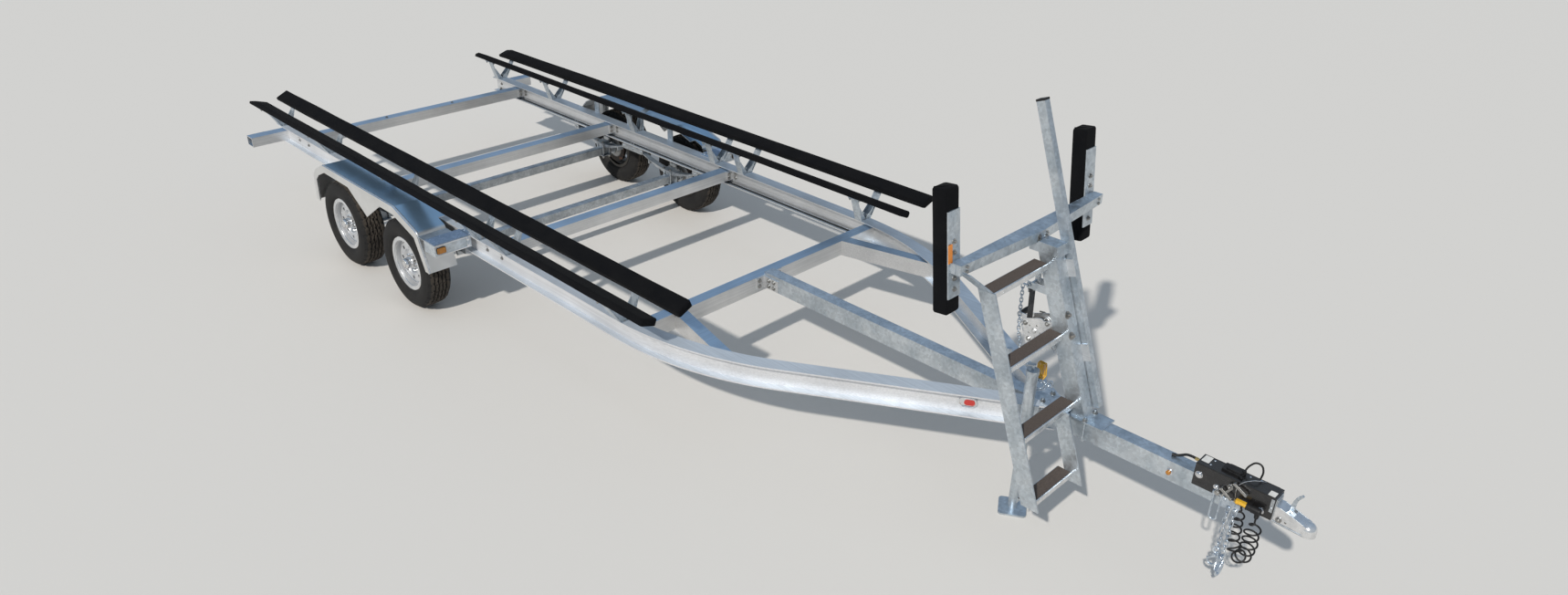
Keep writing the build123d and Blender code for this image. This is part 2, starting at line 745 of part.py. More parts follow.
# Loom: out of the left rail's web at the tail, then along the flange to the front cross member
loom_y = rail_y - rail_web / 2 - loom_web_gap - loom_diameter / 2
loom_z = rail_bottom + rail_flange + fit_gap + loom_diameter / 2
loom_rear_x = axle_x - loom_rear_offset
bend_beam_rear_x = bend_beam_front_x - bend_beam_width
with BuildPart() as brake_line:
    with BuildLine() as loom_path:
        FilletPolyline((loom_rear_x, rail_y - rail_web / 2, loom_z), (loom_rear_x, loom_y, loom_z),
                       (bend_beam_rear_x, loom_y, loom_z), radius=loom_turn_radius)
    with BuildSketch(Plane(origin=(loom_rear_x, rail_y - rail_web / 2, loom_z), z_dir=(0, -1, 0))):
        Circle(loom_diameter / 2)
    sweep()
finish(brake_line.part, "brake_line")

# Bunk boards
for kind, (rear_y, rear_z, front_y, front_z, tilt, rear_offset) in bunks.items():
    for name, side in sides.items():
        rear = Vector(axle_x + rear_offset, side * rear_y, rear_z)
        front = Vector(bunk_front_x, side * front_y, front_z)
        run = front - rear
        turn = math.radians(tilt)
        board_plane = Plane(origin=rear, x_dir=(0, side * math.cos(turn), math.sin(turn)), z_dir=run)
        with BuildPart() as board:
            with BuildSketch(board_plane):
                RectangleRounded(board_width, board_thick, 8)
            extrude(amount=run.length)
        finish(board.part, "bunk_" + name + "_" + kind)

# Brackets: a foot on the rail, an arm and a pad under each board; over a fender the arm has a knee
board_spans = {}
for kind, (rear_y, rear_z, front_y, front_z, tilt, rear_offset) in bunks.items():
    board_spans[kind] = (Vector(rear_offset, rear_y, rear_z),
                         Vector(bunk_front_x - axle_x, front_y, front_z), math.radians(tilt))
for name, side in sides.items():
    with BuildPart() as bunk_brackets:
        for offset_x in bracket_offsets:
            for kind, (rear, front, turn) in board_spans.items():
                out = 1 if kind == "outer" else -1
                share = (offset_x - rear.X) / (front.X - rear.X)
                middle = rear + (front - rear) * share
                drop = board_thick / 2 + fit_gap + bracket_thick / 2
                pad_centre_y = middle.Y + drop * math.sin(turn)
                pad_centre_z = middle.Z - drop * math.cos(turn)
                half = bracket_thick / 2
                foot_y = rail_y + out * (rail_width / 2 - half)
                knots = [(foot_y, rail_top)]
                if offset_x == bracket_knee_offset and kind == "outer":
                    knots.append((foot_y, bracket_knee_z))
                knots.append((pad_centre_y, pad_centre_z))
                with BuildSketch(Plane.YZ.offset(axle_x + offset_x - bracket_width / 2)):
                    with Locations((side * (rail_y + out * rail_width / 4 + out), rail_top + half)):
                        Rectangle(rail_width / 2 - 2, bracket_thick)
                    with Locations((side * pad_centre_y, pad_centre_z)):
                        Rectangle(bracket_pad, bracket_thick, rotation=side * math.degrees(turn))
                    for (y0, z0), (y1, z1) in zip(knots, knots[1:]):
                        with BuildLine():
                            Polyline((side * (y0 - half), z0), (side * (y0 + half), z0),
                                     (side * (y1 + half), z1), (side * (y1 - half), z1), close=True)
                        make_face()
                extrude(amount=bracket_width)
    finish(bunk_brackets.part, "bunk_brackets_" + name)

# Winch post, its base plate and the head that carries the bow bar
lean_angle = math.radians(lean)
up_lean = (-math.sin(lean_angle), 0, math.cos(lean_angle))
across_lean = (math.cos(lean_angle), 0, math.sin(lean_angle))
base_top = rail_top + post_plate_thick
post_base = (post_front_x - post_depth / 2 / math.cos(lean_angle), 0, rail_top)
post_run = (post_head_z - rail_top) / math.cos(lean_angle)
with BuildPart() as winch_post:
    section = beam_face(Plane(origin=post_base, x_dir=across_lean, z_dir=up_lean).offset(-60),
                        post_depth, post_width, post_wall)
    extrude(section, amount=post_run + 120)
    split(bisect_by=Plane(origin=(0, 0, base_top)), keep=Keep.TOP)
    split(bisect_by=Plane(origin=(0, 0, bar_top - bar_height)), keep=Keep.BOTTOM)
    with Locations((post_base[0] - 20, 0, rail_top + post_plate_thick / 2)):
        Box(post_plate_length, post_plate_width, post_plate_thick)
finish(winch_post.part, "winch_post")

# Mast on the left of the post, with its two links
mast_centre_y = mast_near_y + mast_width / 2
mast_base = (mast_front_x - mast_depth / 2 / math.cos(lean_angle), mast_centre_y, mast_foot_z)
mast_run = (mast_top_z - mast_foot_z) / math.cos(lean_angle)
mast_plane = Plane(origin=mast_base, x_dir=across_lean, z_dir=up_lean)
with BuildPart() as mast:
    extrude(beam_face(mast_plane, mast_depth, mast_width, mast_wall), amount=mast_run - mast_cap_height)
    split(bisect_by=Plane(origin=(0, 0, mast_foot_z)), keep=Keep.TOP)
finish(mast.part, "mast")

with BuildPart() as mast_cap:
    with BuildSketch(mast_plane.offset(mast_run - mast_cap_height)):
        Rectangle(mast_depth + 2, mast_width + 2)
    extrude(amount=mast_cap_height - mast_depth / 2 * math.tan(lean_angle))
    with BuildSketch(mast_plane.offset(mast_run - mast_cap_height)):
        Rectangle(mast_depth - 2 * mast_wall - 2 * fit_gap, mast_width - 2 * mast_wall - 2 * fit_gap)
    extrude(amount=-20)
finish(mast_cap.part, "mast_cap")

with BuildPart() as mast_links:
    for level in link_levels:
        link_x = post_front_x - (level - rail_top) * math.tan(lean_angle)
        link_plane = Plane(origin=(link_x, tongue_half, level), x_dir=across_lean, z_dir=(0, 1, 0))
        with BuildSketch(link_plane):
            Rectangle(70, link_height)
        extrude(amount=mast_near_y - tongue_half)
finish(mast_links.part, "mast_links")

# Bow bar: a box that is deeper in the middle, carried on the post's head
with BuildPart() as bow_bar:
    with BuildSketch(Plane.XY.offset(bar_top - bar_height)) as bar_plan:
        with BuildLine():
            Polyline((bar_back_x, -bar_end_y), (bar_back_x + bar_end_depth, -bar_end_y),
                     (bar_back_x + bar_middle_depth, 0), (bar_back_x + bar_end_depth, bar_end_y),
                     (bar_back_x, bar_end_y), close=True)
        make_face()
    extrude(amount=bar_height)
    with BuildSketch(Plane.XY.offset(bar_top - bar_height + bar_wall)):
        offset(bar_plan.sketch, amount=-bar_wall)
    extrude(amount=bar_height - 2 * bar_wall, mode=Mode.SUBTRACT)
finish(bow_bar.part, "bow_bar")

# Bow pads lean back a little, on plates bolted to the bar's ends
pad_angle = math.radians(pad_lean)
pad_up = (-math.sin(pad_angle), 0, math.cos(pad_angle))
pad_front = (math.cos(pad_angle), 0, math.sin(pad_angle))
bar_middle_z = bar_top - bar_height / 2
pad_plate_thick = 6
with BuildPart() as bow_pads:
    for side in sides.values():
        face_x = bar_back_x - pad_plate_thick - 8
        origin = (face_x, side * pad_y, bar_middle_z)
        plane = Plane(origin=origin, x_dir=pad_front, z_dir=pad_up)
        with BuildSketch(plane.offset((pad_bottom - bar_middle_z) / math.cos(pad_angle))):
            with Locations((-pad_depth / 2 - fit_gap, 0)):
                RectangleRounded(pad_depth, pad_width, 8)
        extrude(amount=(pad_top - pad_bottom) / math.cos(pad_angle))
finish(bow_pads.part, "bow_pads")

with BuildPart() as pad_brackets:
    for side in sides.values():
        face_x = bar_back_x - pad_plate_thick - 8
        plane = Plane(origin=(face_x, side * pad_y, bar_middle_z), x_dir=pad_front, z_dir=pad_up)
        with BuildSketch(plane.offset(-150)):
            with Locations((pad_plate_thick / 2, 0)):
                Rectangle(pad_plate_thick, pad_width - 12)
        extrude(amount=400)
        stub_length = 8 + 20 * math.tan(pad_angle)
        with Locations((bar_back_x - stub_length / 2, side * (pad_y - 10), bar_middle_z)):
            Box(stub_length, 50, 40)
finish(pad_brackets.part, "pad_brackets")

# Ladder: the long outer stile, the short inner one and the plate up to the bar
stile_x = axle_x + stile_offset
with BuildPart() as ladder:
    long_base = (stile_x, -ladder_y - ladder_thick / 2, stile_z)
    with BuildSketch(Plane(origin=long_base, x_dir=across_lean, z_dir=up_lean).offset(-420)):
        Rectangle(stile_width, ladder_thick)
    extrude(amount=420 + 700)
    split(bisect_by=Plane(origin=(0, 0, stile_foot_z)), keep=Keep.TOP)
    split(bisect_by=Plane(origin=(0, 0, tread_levels[0])), keep=Keep.BOTTOM)
short_base = (stile_x + 10, -short_stile_y + ladder_thick / 2, stile_z)
with BuildPart() as short_stile:
    with BuildSketch(Plane(origin=short_base, x_dir=across_lean, z_dir=up_lean).offset(-420)):
        Rectangle(stile_width - 6, ladder_thick)
    extrude(amount=420)
    split(bisect_by=Plane(origin=(0, 0, tread_levels[3] - 50)), keep=Keep.TOP)
    split(bisect_by=Plane(origin=(0, 0, tread_levels[2] - tread_lip)), keep=Keep.BOTTOM)
top_step_x = axle_x + tread_front_offsets[0] - tread_depth / 2
plate_foot = Vector(top_step_x, -ladder_y - ladder_thick, tread_levels[0])
plate_head = Vector(bar_back_x + 38, -(bar_end_y - 40), bar_top - bar_height)
with BuildPart() as bar_plate:
    rise = plate_head - plate_foot
    with BuildSketch(Plane(origin=plate_foot, x_dir=(1, 0, 0), z_dir=rise).offset(-10)):
        Rectangle(60, ladder_thick)
    extrude(amount=rise.length + 20)
    split(bisect_by=Plane(origin=(0, 0, tread_levels[0])), keep=Keep.TOP)
    split(bisect_by=Plane(origin=(0, 0, bar_top - bar_height)), keep=Keep.BOTTOM)
ladder_whole = Compound(children=[ladder.part.solid(), short_stile.part.solid(), bar_plate.part.solid()])
finish(ladder_whole, "ladder")

tread_spans = [(tongue_half, ladder_y), (tongue_half, ladder_y), (tongue_half, ladder_y),
               (short_stile_y, ladder_y)]
with BuildPart() as ladder_treads:
    for level, front, (near, far) in zip(tread_levels, tread_front_offsets, tread_spans):
        middle_x = axle_x + front - tread_depth / 2
        middle_y = -(near + far) / 2
        with Locations((middle_x, middle_y, level - tread_lip / 2)):
            Box(tread_depth, far - near, tread_lip)
        with Locations((middle_x, middle_y, level - tread_thick - tread_lip / 2)):
            Box(tread_depth - 2 * tread_thick, far - near, tread_lip, mode=Mode.SUBTRACT)
finish(ladder_treads.part, "ladder_treads")

# Winch: two side plates on the post's back, a drum with its strap and a crank
post_back_at_winch = post_front_x - (winch_z - rail_top) * math.tan(lean_angle) \
    - post_depth / math.cos(lean_angle)
winch_half = winch_inner_width / 2
with BuildPart() as winch_frame:
    for edge in (-1, 1):
        plane = Plane(origin=(winch_x, edge * winch_half, winch_z), x_dir=across_lean,
                      z_dir=(0, edge, 0))
        with BuildSketch(plane):
            RectangleRounded(winch_plate_size, winch_plate_size, 20)
            with Locations((winch_plate_size / 2, 0)):
                Rectangle(2 * winch_plate_size, winch_plate_size - 30)
            Circle(9, mode=Mode.SUBTRACT)
        extrude(amount=winch_plate)
    back_line = Plane(origin=(post_back_at_winch, 0, winch_z), x_dir=(0, 1, 0),
                      z_dir=(-math.cos(lean_angle), 0, -math.sin(lean_angle)))
    split(bisect_by=back_line, keep=Keep.TOP)
    with BuildSketch(back_line):
        Rectangle(winch_inner_width + 2 * winch_plate, winch_plate_size - 30)
    extrude(amount=winch_plate)
finish(winch_frame.part, "winch_frame")

drum_plane = Plane(origin=(winch_x, 0, winch_z), x_dir=(1, 0, 0), z_dir=(0, 1, 0))
shaft_reach = winch_half + winch_plate + 14
with BuildPart() as winch_drum:
    with BuildSketch(drum_plane.offset(-winch_half - winch_plate - 6)):
        Circle(9 - spindle_fit)
    extrude(amount=winch_half + winch_plate + 6 + shaft_reach)
    with BuildSketch(drum_plane.offset(-winch_half + 5)):
        Circle(drum_radius)
    extrude(amount=winch_inner_width - 10)
    for edge in (-winch_half + 5, winch_half - 8):
        with BuildSketch(drum_plane.offset(edge)):
            Circle(drum_flange_radius)
        extrude(amount=3)
    with BuildSketch(drum_plane.offset(shaft_reach)):
        with Locations((-crank_length / 2, 0)):
            SlotCenterToCenter(crank_length, 24)
    extrude(amount=6)
    with BuildSketch(drum_plane.offset(shaft_reach + 6)):
        with Locations((-crank_length, 0)):
            Circle(grip_radius)
    extrude(amount=100)
finish(winch_drum.part, "winch_drum")

strap_width = 50
strap_thick = 4
with BuildPart() as strap_coil:
    with BuildSketch(drum_plane.offset(-strap_width / 2)):
        Circle(strap_coil_radius)
        Circle(drum_radius + fit_gap, mode=Mode.SUBTRACT)
    extrude(amount=strap_width)
finish(strap_coil.part, "strap_coil")

strap_bottom = Vector(winch_x - strap_coil_radius - fit_gap - strap_thick / 2, 0, winch_z)
strap_head = Vector(bar_back_x - 20, 0, bar_top - bar_height - 6)
with BuildPart() as strap_run:
    rise = strap_head - strap_bottom
    with BuildSketch(Plane(origin=strap_bottom, x_dir=(0, 1, 0), z_dir=rise)):
        Rectangle(strap_width, strap_thick)
    extrude(amount=rise.length)
finish(strap_run.part, "strap_run")

# Route of the curly lead: down from the gland, round a hanging loop and up to the plug's boot
lead_points = [(3675, -13, 539), (3675, -13, 497), (3671, -10, 448), (3669, -9, 398), (3675, -13, 350),
               (3693, -25, 312), (3721, -43, 296), (3749, -62, 310), (3767, -74, 344), (3772, -77, 394),
               (3768, -75, 444), (3760, -69, 494), (3757, -67, 538)]

# Surge actuator case over the tongue's end
with BuildPart() as actuator_case:
    with BuildSketch(Plane.YZ.offset(case_rear_x)):
        with Locations((0, (case_top + case_bottom) / 2)):
            Rectangle(tongue_width + 2 * case_wall, case_top - case_bottom)
        with Locations((0, (case_top + case_bottom) / 2 - case_wall)):
            Rectangle(tongue_width, case_top - case_bottom, mode=Mode.SUBTRACT)
    extrude(amount=case_front_x - case_rear_x)
    with BuildSketch(Plane.YZ.offset(tongue_front_x + 5)):
        with Locations((0, case_bottom + case_wall / 2)):
            Rectangle(tongue_width, case_wall)
    extrude(amount=case_front_x - tongue_front_x - 5)
    with BuildSketch(Plane.XY.offset(case_bottom - gland_length)):
        with Locations(lead_points[0][:2]):
            Circle(gland_radius)
    extrude(amount=gland_length)
finish(actuator_case.part, "actuator_case")

# Safety chains: links in turn flat and on edge, each resting in the next, down to the hooks
case_side_y = -(tongue_half + case_wall)
chain_y = case_side_y - chain_plate_thick - link_wire / 2
link_pitch = link_length - 2 * link_wire
chain_plate_x = axle_x + sum(chain_x_offsets) / len(chain_x_offsets)
chain_plate_bottom = chain_top - 3 * link_wire
with BuildPart() as safety_chains:
    plate_height = shackle_top - chain_plate_bottom
    with Locations((chain_plate_x, case_side_y - chain_plate_thick / 2, shackle_top - plate_height / 2)):
        Box(chain_plate_length, chain_plate_thick, plate_height)
    for offset_x, count in zip(chain_x_offsets, chain_link_counts):
        for step in range(count):
            link_z = chain_top - link_length / 2 - step * link_pitch
            flat = step % 2 == 0
            end_z = link_length / 2 - link_wire / 2
            side_out = link_width / 2 - link_wire / 2
            turned = 0 if flat else 90
            with Locations(Location((axle_x + offset_x, chain_y, link_z), (0, 0, turned))):
                with Locations((0, 0, end_z), (0, 0, -end_z)):
                    Box(link_width, link_wire, link_wire)
                with Locations((side_out, 0, 0), (-side_out, 0, 0)):
                    Box(link_wire, link_wire, link_length)
        eye_z = link_z - link_length / 2 + link_wire - hook_eye_bore - fit_gap
        hook_way, hook_normal = ((0, -1, 0), (-1, 0, 0)) if flat else ((-1, 0, 0), (0, 1, 0))
        hook_plane = Plane(origin=(axle_x + offset_x, chain_y, eye_z), x_dir=hook_way, z_dir=hook_normal)
        with BuildSketch(hook_plane):
            Circle(hook_eye_radius)
            with Locations((0, -hook_drop / 2)):
                Rectangle(hook_thick, hook_drop)
            with Locations((hook_radius - hook_thick / 2, -hook_drop)):
                Circle(hook_radius)
                Circle(hook_throat, mode=Mode.SUBTRACT)
            with Locations((hook_radius, -hook_drop + hook_radius / 2)):
                Rectangle(2 * hook_throat - 2, hook_radius, mode=Mode.SUBTRACT)
            Circle(hook_eye_bore, mode=Mode.SUBTRACT)
        extrude(amount=hook_thick / 2, both=True)
    shackle_middle = (axle_x + shackle_offset, case_side_y - shackle_wire / 2)
    with Locations((*shackle_middle, (shackle_top + shackle_bottom) / 2)):
        Box(shackle_width, shackle_wire, shackle_top - shackle_bottom)
    with Locations((*shackle_middle, (shackle_top + shackle_bottom) / 2 + shackle_wire)):
        Box(shackle_width - 2 * shackle_wire, shackle_wire, shackle_top - shackle_bottom, mode=Mode.SUBTRACT)
finish(safety_chains.part, "safety_chains")

# Curly lead as one tube of its coils' outer diameter
lead_vectors = [Vector(*point) for point in lead_points]
lead_radii = []
for before, corner, after in zip(lead_vectors, lead_vectors[1:], lead_vectors[2:]):
    half_turn = math.radians((corner - before).get_angle(after - corner)) / 2
    shorter_run = min((corner - before).length, (after - corner).length)
    lead_radii.append(0.45 * shorter_run / math.tan(half_turn))
print("lead radii", [round(radius, 1) for radius in lead_radii])
with BuildPart() as trailer_lead:
    with BuildLine() as lead_path:
        FilletPolyline(lead_points, radius=lead_radii)
    lead_wire = lead_path.wire()
    with BuildSketch(Plane(origin=lead_wire @ 0, z_dir=lead_wire % 0)):
        Circle(lead_tube_diameter / 2)
    sweep()
lead_section = math.pi * lead_tube_diameter ** 2 / 4
print("lead volume over section times length", trailer_lead.part.volume / (lead_section * lead_wire.length))
finish(trailer_lead.part, "trailer_lead")

# Plug on the case's side, with the boot that the lead goes into and the clip that holds it
lead_end = lead_vectors[-1]
end_direction = (lead_vectors[-1] - lead_vectors[-2]).normalized()
with BuildPart() as lead_plug:
    with BuildSketch(Plane(origin=lead_end, z_dir=end_direction)):
        Circle(boot_radius)
    extrude(amount=plug_z - lead_end.Z)
    with BuildSketch(Plane(origin=(plug_rear_x, lead_end.Y, plug_z), z_dir=(1, 0, 0))):
        Circle(plug_radius)
    extrude(amount=lead_end.X + boot_radius - plug_rear_x)
    clip_depth = abs(lead_end.Y - case_side_y)
    with Locations((plug_rear_x + plug_length, case_side_y - clip_depth / 2, plug_z)):
        Box(2 * boot_radius, clip_depth, 2 * boot_radius - 4)
finish(lead_plug.part, "lead_plug")

# Coupler: the slide out of the case and the socket for the ball
socket_radius = ball_radius + socket_gap
dome_radius = socket_radius + dome_wall
ball_x = nose_x - dome_radius
slide_bottom = case_bottom + case_wall
slide_middle = slide_bottom + slide_size / 2
with BuildPart() as coupler:
    with BuildSketch(Plane.YZ.offset(slide_rear_x)):
        with Locations((0, slide_middle)):
            Rectangle(slide_size, slide_size)
    extrude(amount=case_front_x + 20 - slide_rear_x)
    with BuildSketch(Plane.YZ.offset(case_front_x + 20)):
        with Locations((0, slide_middle)):
            Rectangle(slide_size, slide_size)
    with BuildSketch(Plane.YZ.offset(ball_x)):
        with Locations((0, ball_z + 2)):
            Rectangle(2 * dome_radius - 8, 44)
    loft()
    with Locations((ball_x, 0, ball_z)):
        Sphere(dome_radius)
    with BuildSketch(Plane.XY.offset(ball_z - coupler_skirt)):
        with Locations((ball_x, 0)):
            Circle(dome_radius)
    extrude(amount=coupler_skirt)
    split(bisect_by=Plane(origin=(0, 0, ball_z - coupler_skirt)), keep=Keep.TOP)
    with Locations((ball_x, 0, ball_z)):
        Sphere(socket_radius, mode=Mode.SUBTRACT)
    with BuildSketch(Plane.XY.offset(ball_z - 2 * dome_radius)):
        with Locations((ball_x, 0)):
            Circle(socket_radius)
    extrude(amount=2 * dome_radius, mode=Mode.SUBTRACT)
finish(coupler.part, "coupler")

# Latch lever on the coupler's neck
latch_x = ball_x - 70
neck_rear_x = case_front_x + 20
neck_fall = (slide_middle + slide_size / 2 - ball_z - 24) / (ball_x - neck_rear_x)
latch_rise = [slide_middle + slide_size / 2 - neck_fall * (latch_x + step - neck_rear_x) + fit_gap
              for step in (-14, 14)]
with BuildPart() as coupler_latch:
    with BuildSketch(Plane.XZ.offset(-9)):
        with BuildLine():
            Polyline((latch_x - 14, latch_rise[0]), (latch_x + 14, latch_rise[1]),
                     (latch_x + 14, latch_rise[1] + 30), (latch_x + 34, latch_rise[1] + 44),
                     (latch_x + 24, latch_rise[1] + 52), (latch_x - 10, latch_rise[1] + 34), close=True)
        make_face()
    extrude(amount=18)
finish(coupler_latch.part, "coupler_latch")

# Jack: a bracket on the rail's outer flanges, an outer tube and a leg with a foot plate
front_run_x = bend_end_x + (bend_end_y - tongue_half) / math.tan(bend) - jack_rail_offset
front_run_y = tongue_half + jack_rail_offset * math.tan(bend)
stand_off = rail_width / 2 + jack_bracket_thick + jack_tube_radius
jack_x = front_run_x + stand_off * math.sin(bend)
jack_y = -(front_run_y + stand_off * math.cos(bend))
outward = (math.sin(bend), -math.cos(bend), 0)
along = (math.cos(bend), math.sin(bend), 0)
with BuildPart() as jack_body:
    with BuildSketch(Plane.XY.offset(jack_tube_bottom)):
        with Locations((jack_x, jack_y)):
            Circle(jack_tube_radius)
            Circle(jack_tube_radius - jack_tube_wall, mode=Mode.SUBTRACT)
    extrude(amount=jack_tube_top - jack_tube_bottom)
    with BuildSketch(Plane.XY.offset(jack_tube_top)):
        with Locations((jack_x, jack_y)):
            Circle(jack_tube_radius + 3)
    extrude(amount=22)
    plate_origin = (front_run_x + outward[0] * rail_width / 2, -front_run_y + outward[1] * rail_width / 2,
                    rail_bottom + rail_height / 2)
    with BuildSketch(Plane(origin=plate_origin, x_dir=along, z_dir=outward)):
        Rectangle(110, rail_height)
    extrude(amount=jack_bracket_thick)
    with BuildSketch(Plane(origin=plate_origin, x_dir=along, z_dir=outward).offset(jack_bracket_thick)):
        Rectangle(20, rail_height)
    extrude(amount=jack_tube_wall)
    with BuildSketch(Plane.XY.offset(jack_tube_top + 22)):
        with Locations((jack_x, jack_y)):
            Circle(8)
    extrude(amount=24)
    with BuildSketch(Plane(origin=(jack_x, jack_y, jack_tube_top + 46), x_dir=(-along[0], -along[1], 0),
                           z_dir=(0, 0, 1))):
        with Locations((60, 0)):
            SlotCenterToCenter(120, 24)
    extrude(amount=6)
    with BuildSketch(Plane(origin=(jack_x - 120 * along[0], jack_y - 120 * along[1], jack_tube_top + 52))):
        Circle(12)
    extrude(amount=70)
finish(jack_body.part, "jack_body")

with BuildPart() as jack_leg:
    with BuildSketch(Plane.XY.offset(jack_foot_thick)):
        with Locations((jack_x, jack_y)):
            Circle(jack_leg_radius)
            Circle(jack_leg_radius - jack_leg_wall, mode=Mode.SUBTRACT)
    extrude(amount=jack_leg_top - jack_foot_thick)
    with BuildSketch(Plane(origin=(jack_x, jack_y, 0), x_dir=along, z_dir=(0, 0, 1))):
        RectangleRounded(jack_foot_size, jack_foot_size, 18)
    extrude(amount=jack_foot_thick)
finish(jack_leg.part, "jack_leg")
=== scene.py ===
import math
import random

import bmesh
import bpy
from mathutils import Matrix, Vector


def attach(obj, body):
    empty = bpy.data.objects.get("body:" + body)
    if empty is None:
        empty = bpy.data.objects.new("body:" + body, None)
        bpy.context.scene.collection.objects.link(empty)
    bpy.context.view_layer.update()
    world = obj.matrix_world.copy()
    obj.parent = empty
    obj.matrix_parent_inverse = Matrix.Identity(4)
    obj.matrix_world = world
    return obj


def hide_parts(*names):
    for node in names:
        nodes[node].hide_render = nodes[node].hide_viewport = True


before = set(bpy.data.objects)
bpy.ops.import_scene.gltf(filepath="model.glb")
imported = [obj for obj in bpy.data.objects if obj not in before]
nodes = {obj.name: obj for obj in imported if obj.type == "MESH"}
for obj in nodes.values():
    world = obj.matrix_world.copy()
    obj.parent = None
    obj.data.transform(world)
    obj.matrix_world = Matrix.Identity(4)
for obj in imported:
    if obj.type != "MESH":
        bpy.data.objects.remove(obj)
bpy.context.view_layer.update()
scene = bpy.context.scene
scene.view_settings.view_transform = "Standard"

# Measures in metres, axes and angles that several pieces share
SIDES = {"right": -1, "left": 1}
PLACES = ("front", "rear")
AXLE_X = {"front": -1.365, "rear": -2.247}
WHEEL_Y = 1.195
WHEEL_Z = 0.31
RAIL_TOP = 0.603
RAIL_Y = 0.994
RAIL_HALF = 0.0445
RAIL_WEB = 0.006
TONGUE_HALF = 0.038
STEP_BOX_INNER_Y = 1.0385
STEP_BOX_OUTER_Y = 1.29
STEP_BOX_X = (-1.01, -0.88)
X = (1, 0, 0)
Y = (0, 1, 0)
Z = (0, 0, 1)
LEAN = math.radians(20.3)
PAD_LEAN = math.radians(6.5)


def leaning(angle):
    """Up and forward directions of a part that leans back by an angle."""
    return Vector((-math.sin(angle), 0, math.cos(angle))), Vector((math.cos(angle), 0, math.sin(angle)))


UP_LEAN, ACROSS_LEAN = leaning(LEAN)
PAD_UP, PAD_OUT = leaning(PAD_LEAN)

# Camera, solved from the photograph's straight edges
CAMERA_AT = (4.7327, -3.9633, 3.4051)
CAMERA_YAW = 2.34079
CAMERA_PITCH = 0.48941
CAMERA_ROLL = 0.02024
CAMERA_LENS = 23.99


def make_camera():
    flat = math.cos(CAMERA_PITCH)
    look = Vector((math.cos(CAMERA_YAW) * flat, math.sin(CAMERA_YAW) * flat, -math.sin(CAMERA_PITCH)))
    right = look.cross(Vector(Z)).normalized()
    up = right.cross(look)
    c, s = math.cos(CAMERA_ROLL), math.sin(CAMERA_ROLL)
    data = bpy.data.cameras.new("camera")
    data.lens = CAMERA_LENS
    data.sensor_width = 36
    data.clip_end = 200
    camera = bpy.data.objects.new("camera", data)
    rotation = Matrix((c * right + s * up, c * up - s * right, -look)).transposed().to_4x4()
    camera.matrix_world = Matrix.Translation(CAMERA_AT) @ rotation
    scene.collection.objects.link(camera)
    scene.camera = camera


make_camera()

# Materials
MATERIALS = {}


def feed(tree, node, **values):
    """Set inputs and properties of a node by name; a value that is a socket is linked instead."""
    for key, value in values.items():
        socket = node.inputs.get(key.replace("_", " "))
        if socket is None:
            setattr(node, key, value)
        elif isinstance(value, bpy.types.NodeSocket):
            tree.links.new(value, socket)
        else:
            socket.default_value = value
    return node


def add(tree, kind, **values):
    return feed(tree, tree.nodes.new(kind), **values)


def object_space(tree, scale=(1, 1, 1)):
    place = add(tree, "ShaderNodeTexCoord")
    return add(tree, "ShaderNodeMapping", Vector=place.outputs["Object"], Scale=scale).outputs["Vector"]


def new_material(name):
    """Node tree, object space and shader of a new material, which MATERIALS then holds."""
    material = bpy.data.materials.new(name)
    material.use_nodes = True
    MATERIALS[name] = material
    tree = material.node_tree
    return tree, object_space(tree), tree.nodes["Principled BSDF"]


def noise(tree, space, scale, detail, roughness=0.55):
    node = add(tree, "ShaderNodeTexNoise", Vector=space, Scale=scale, Detail=detail, Roughness=roughness)
    return node.outputs["Fac"]


def ramp(tree, factor, *stops):
    node = add(tree, "ShaderNodeValToRGB", Fac=factor)
    line = node.color_ramp
    while len(line.elements) < len(stops):
        line.elements.new(0.5)
    for element, (at, colour) in zip(line.elements, stops):
        element.position = at
        element.color = (*colour, 1)
    return node.outputs["Color"]


def grey(tree, factor, low, high, start=0.3, end=0.7):
    return ramp(tree, factor, (start, (low,) * 3), (end, (high,) * 3))


def share_of(tree, value, low, high):
    """Runs from 0 to 1 while a value goes from low to high."""
    return add(tree, "ShaderNodeMapRange", Value=value, From_Min=low, From_Max=high).outputs["Result"]


def mix(tree, factor, first, second, kind="MIX"):
    node = add(tree, "ShaderNodeMix", data_type="RGBA", blend_type=kind, Factor=factor)
    for socket, value in ((node.inputs[6], first), (node.inputs[7], second)):
        if isinstance(value, bpy.types.NodeSocket):
            tree.links.new(value, socket)
        else:
            socket.default_value = (*value, 1)
    return node.outputs[2]


def bump(tree, shader, height, strength, distance):
    node = add(tree, "ShaderNodeBump", Height=height, Strength=strength, Distance=distance)
    feed(tree, shader, Normal=node.outputs["Normal"])


def painted_sky_reflection(tree, colour, sky_reflection_tint):
    """Painted reflection of the blue sky: faces that look up are tinted bluer."""
    shape = add(tree, "ShaderNodeNewGeometry")
    parts = add(tree, "ShaderNodeSeparateXYZ", Vector=shape.outputs["Normal"])
    level = share_of(tree, parts.outputs["Z"], 0.55, 0.95)
    return mix(tree, level, colour, mix(tree, 1.0, colour, sky_reflection_tint, "MULTIPLY"))


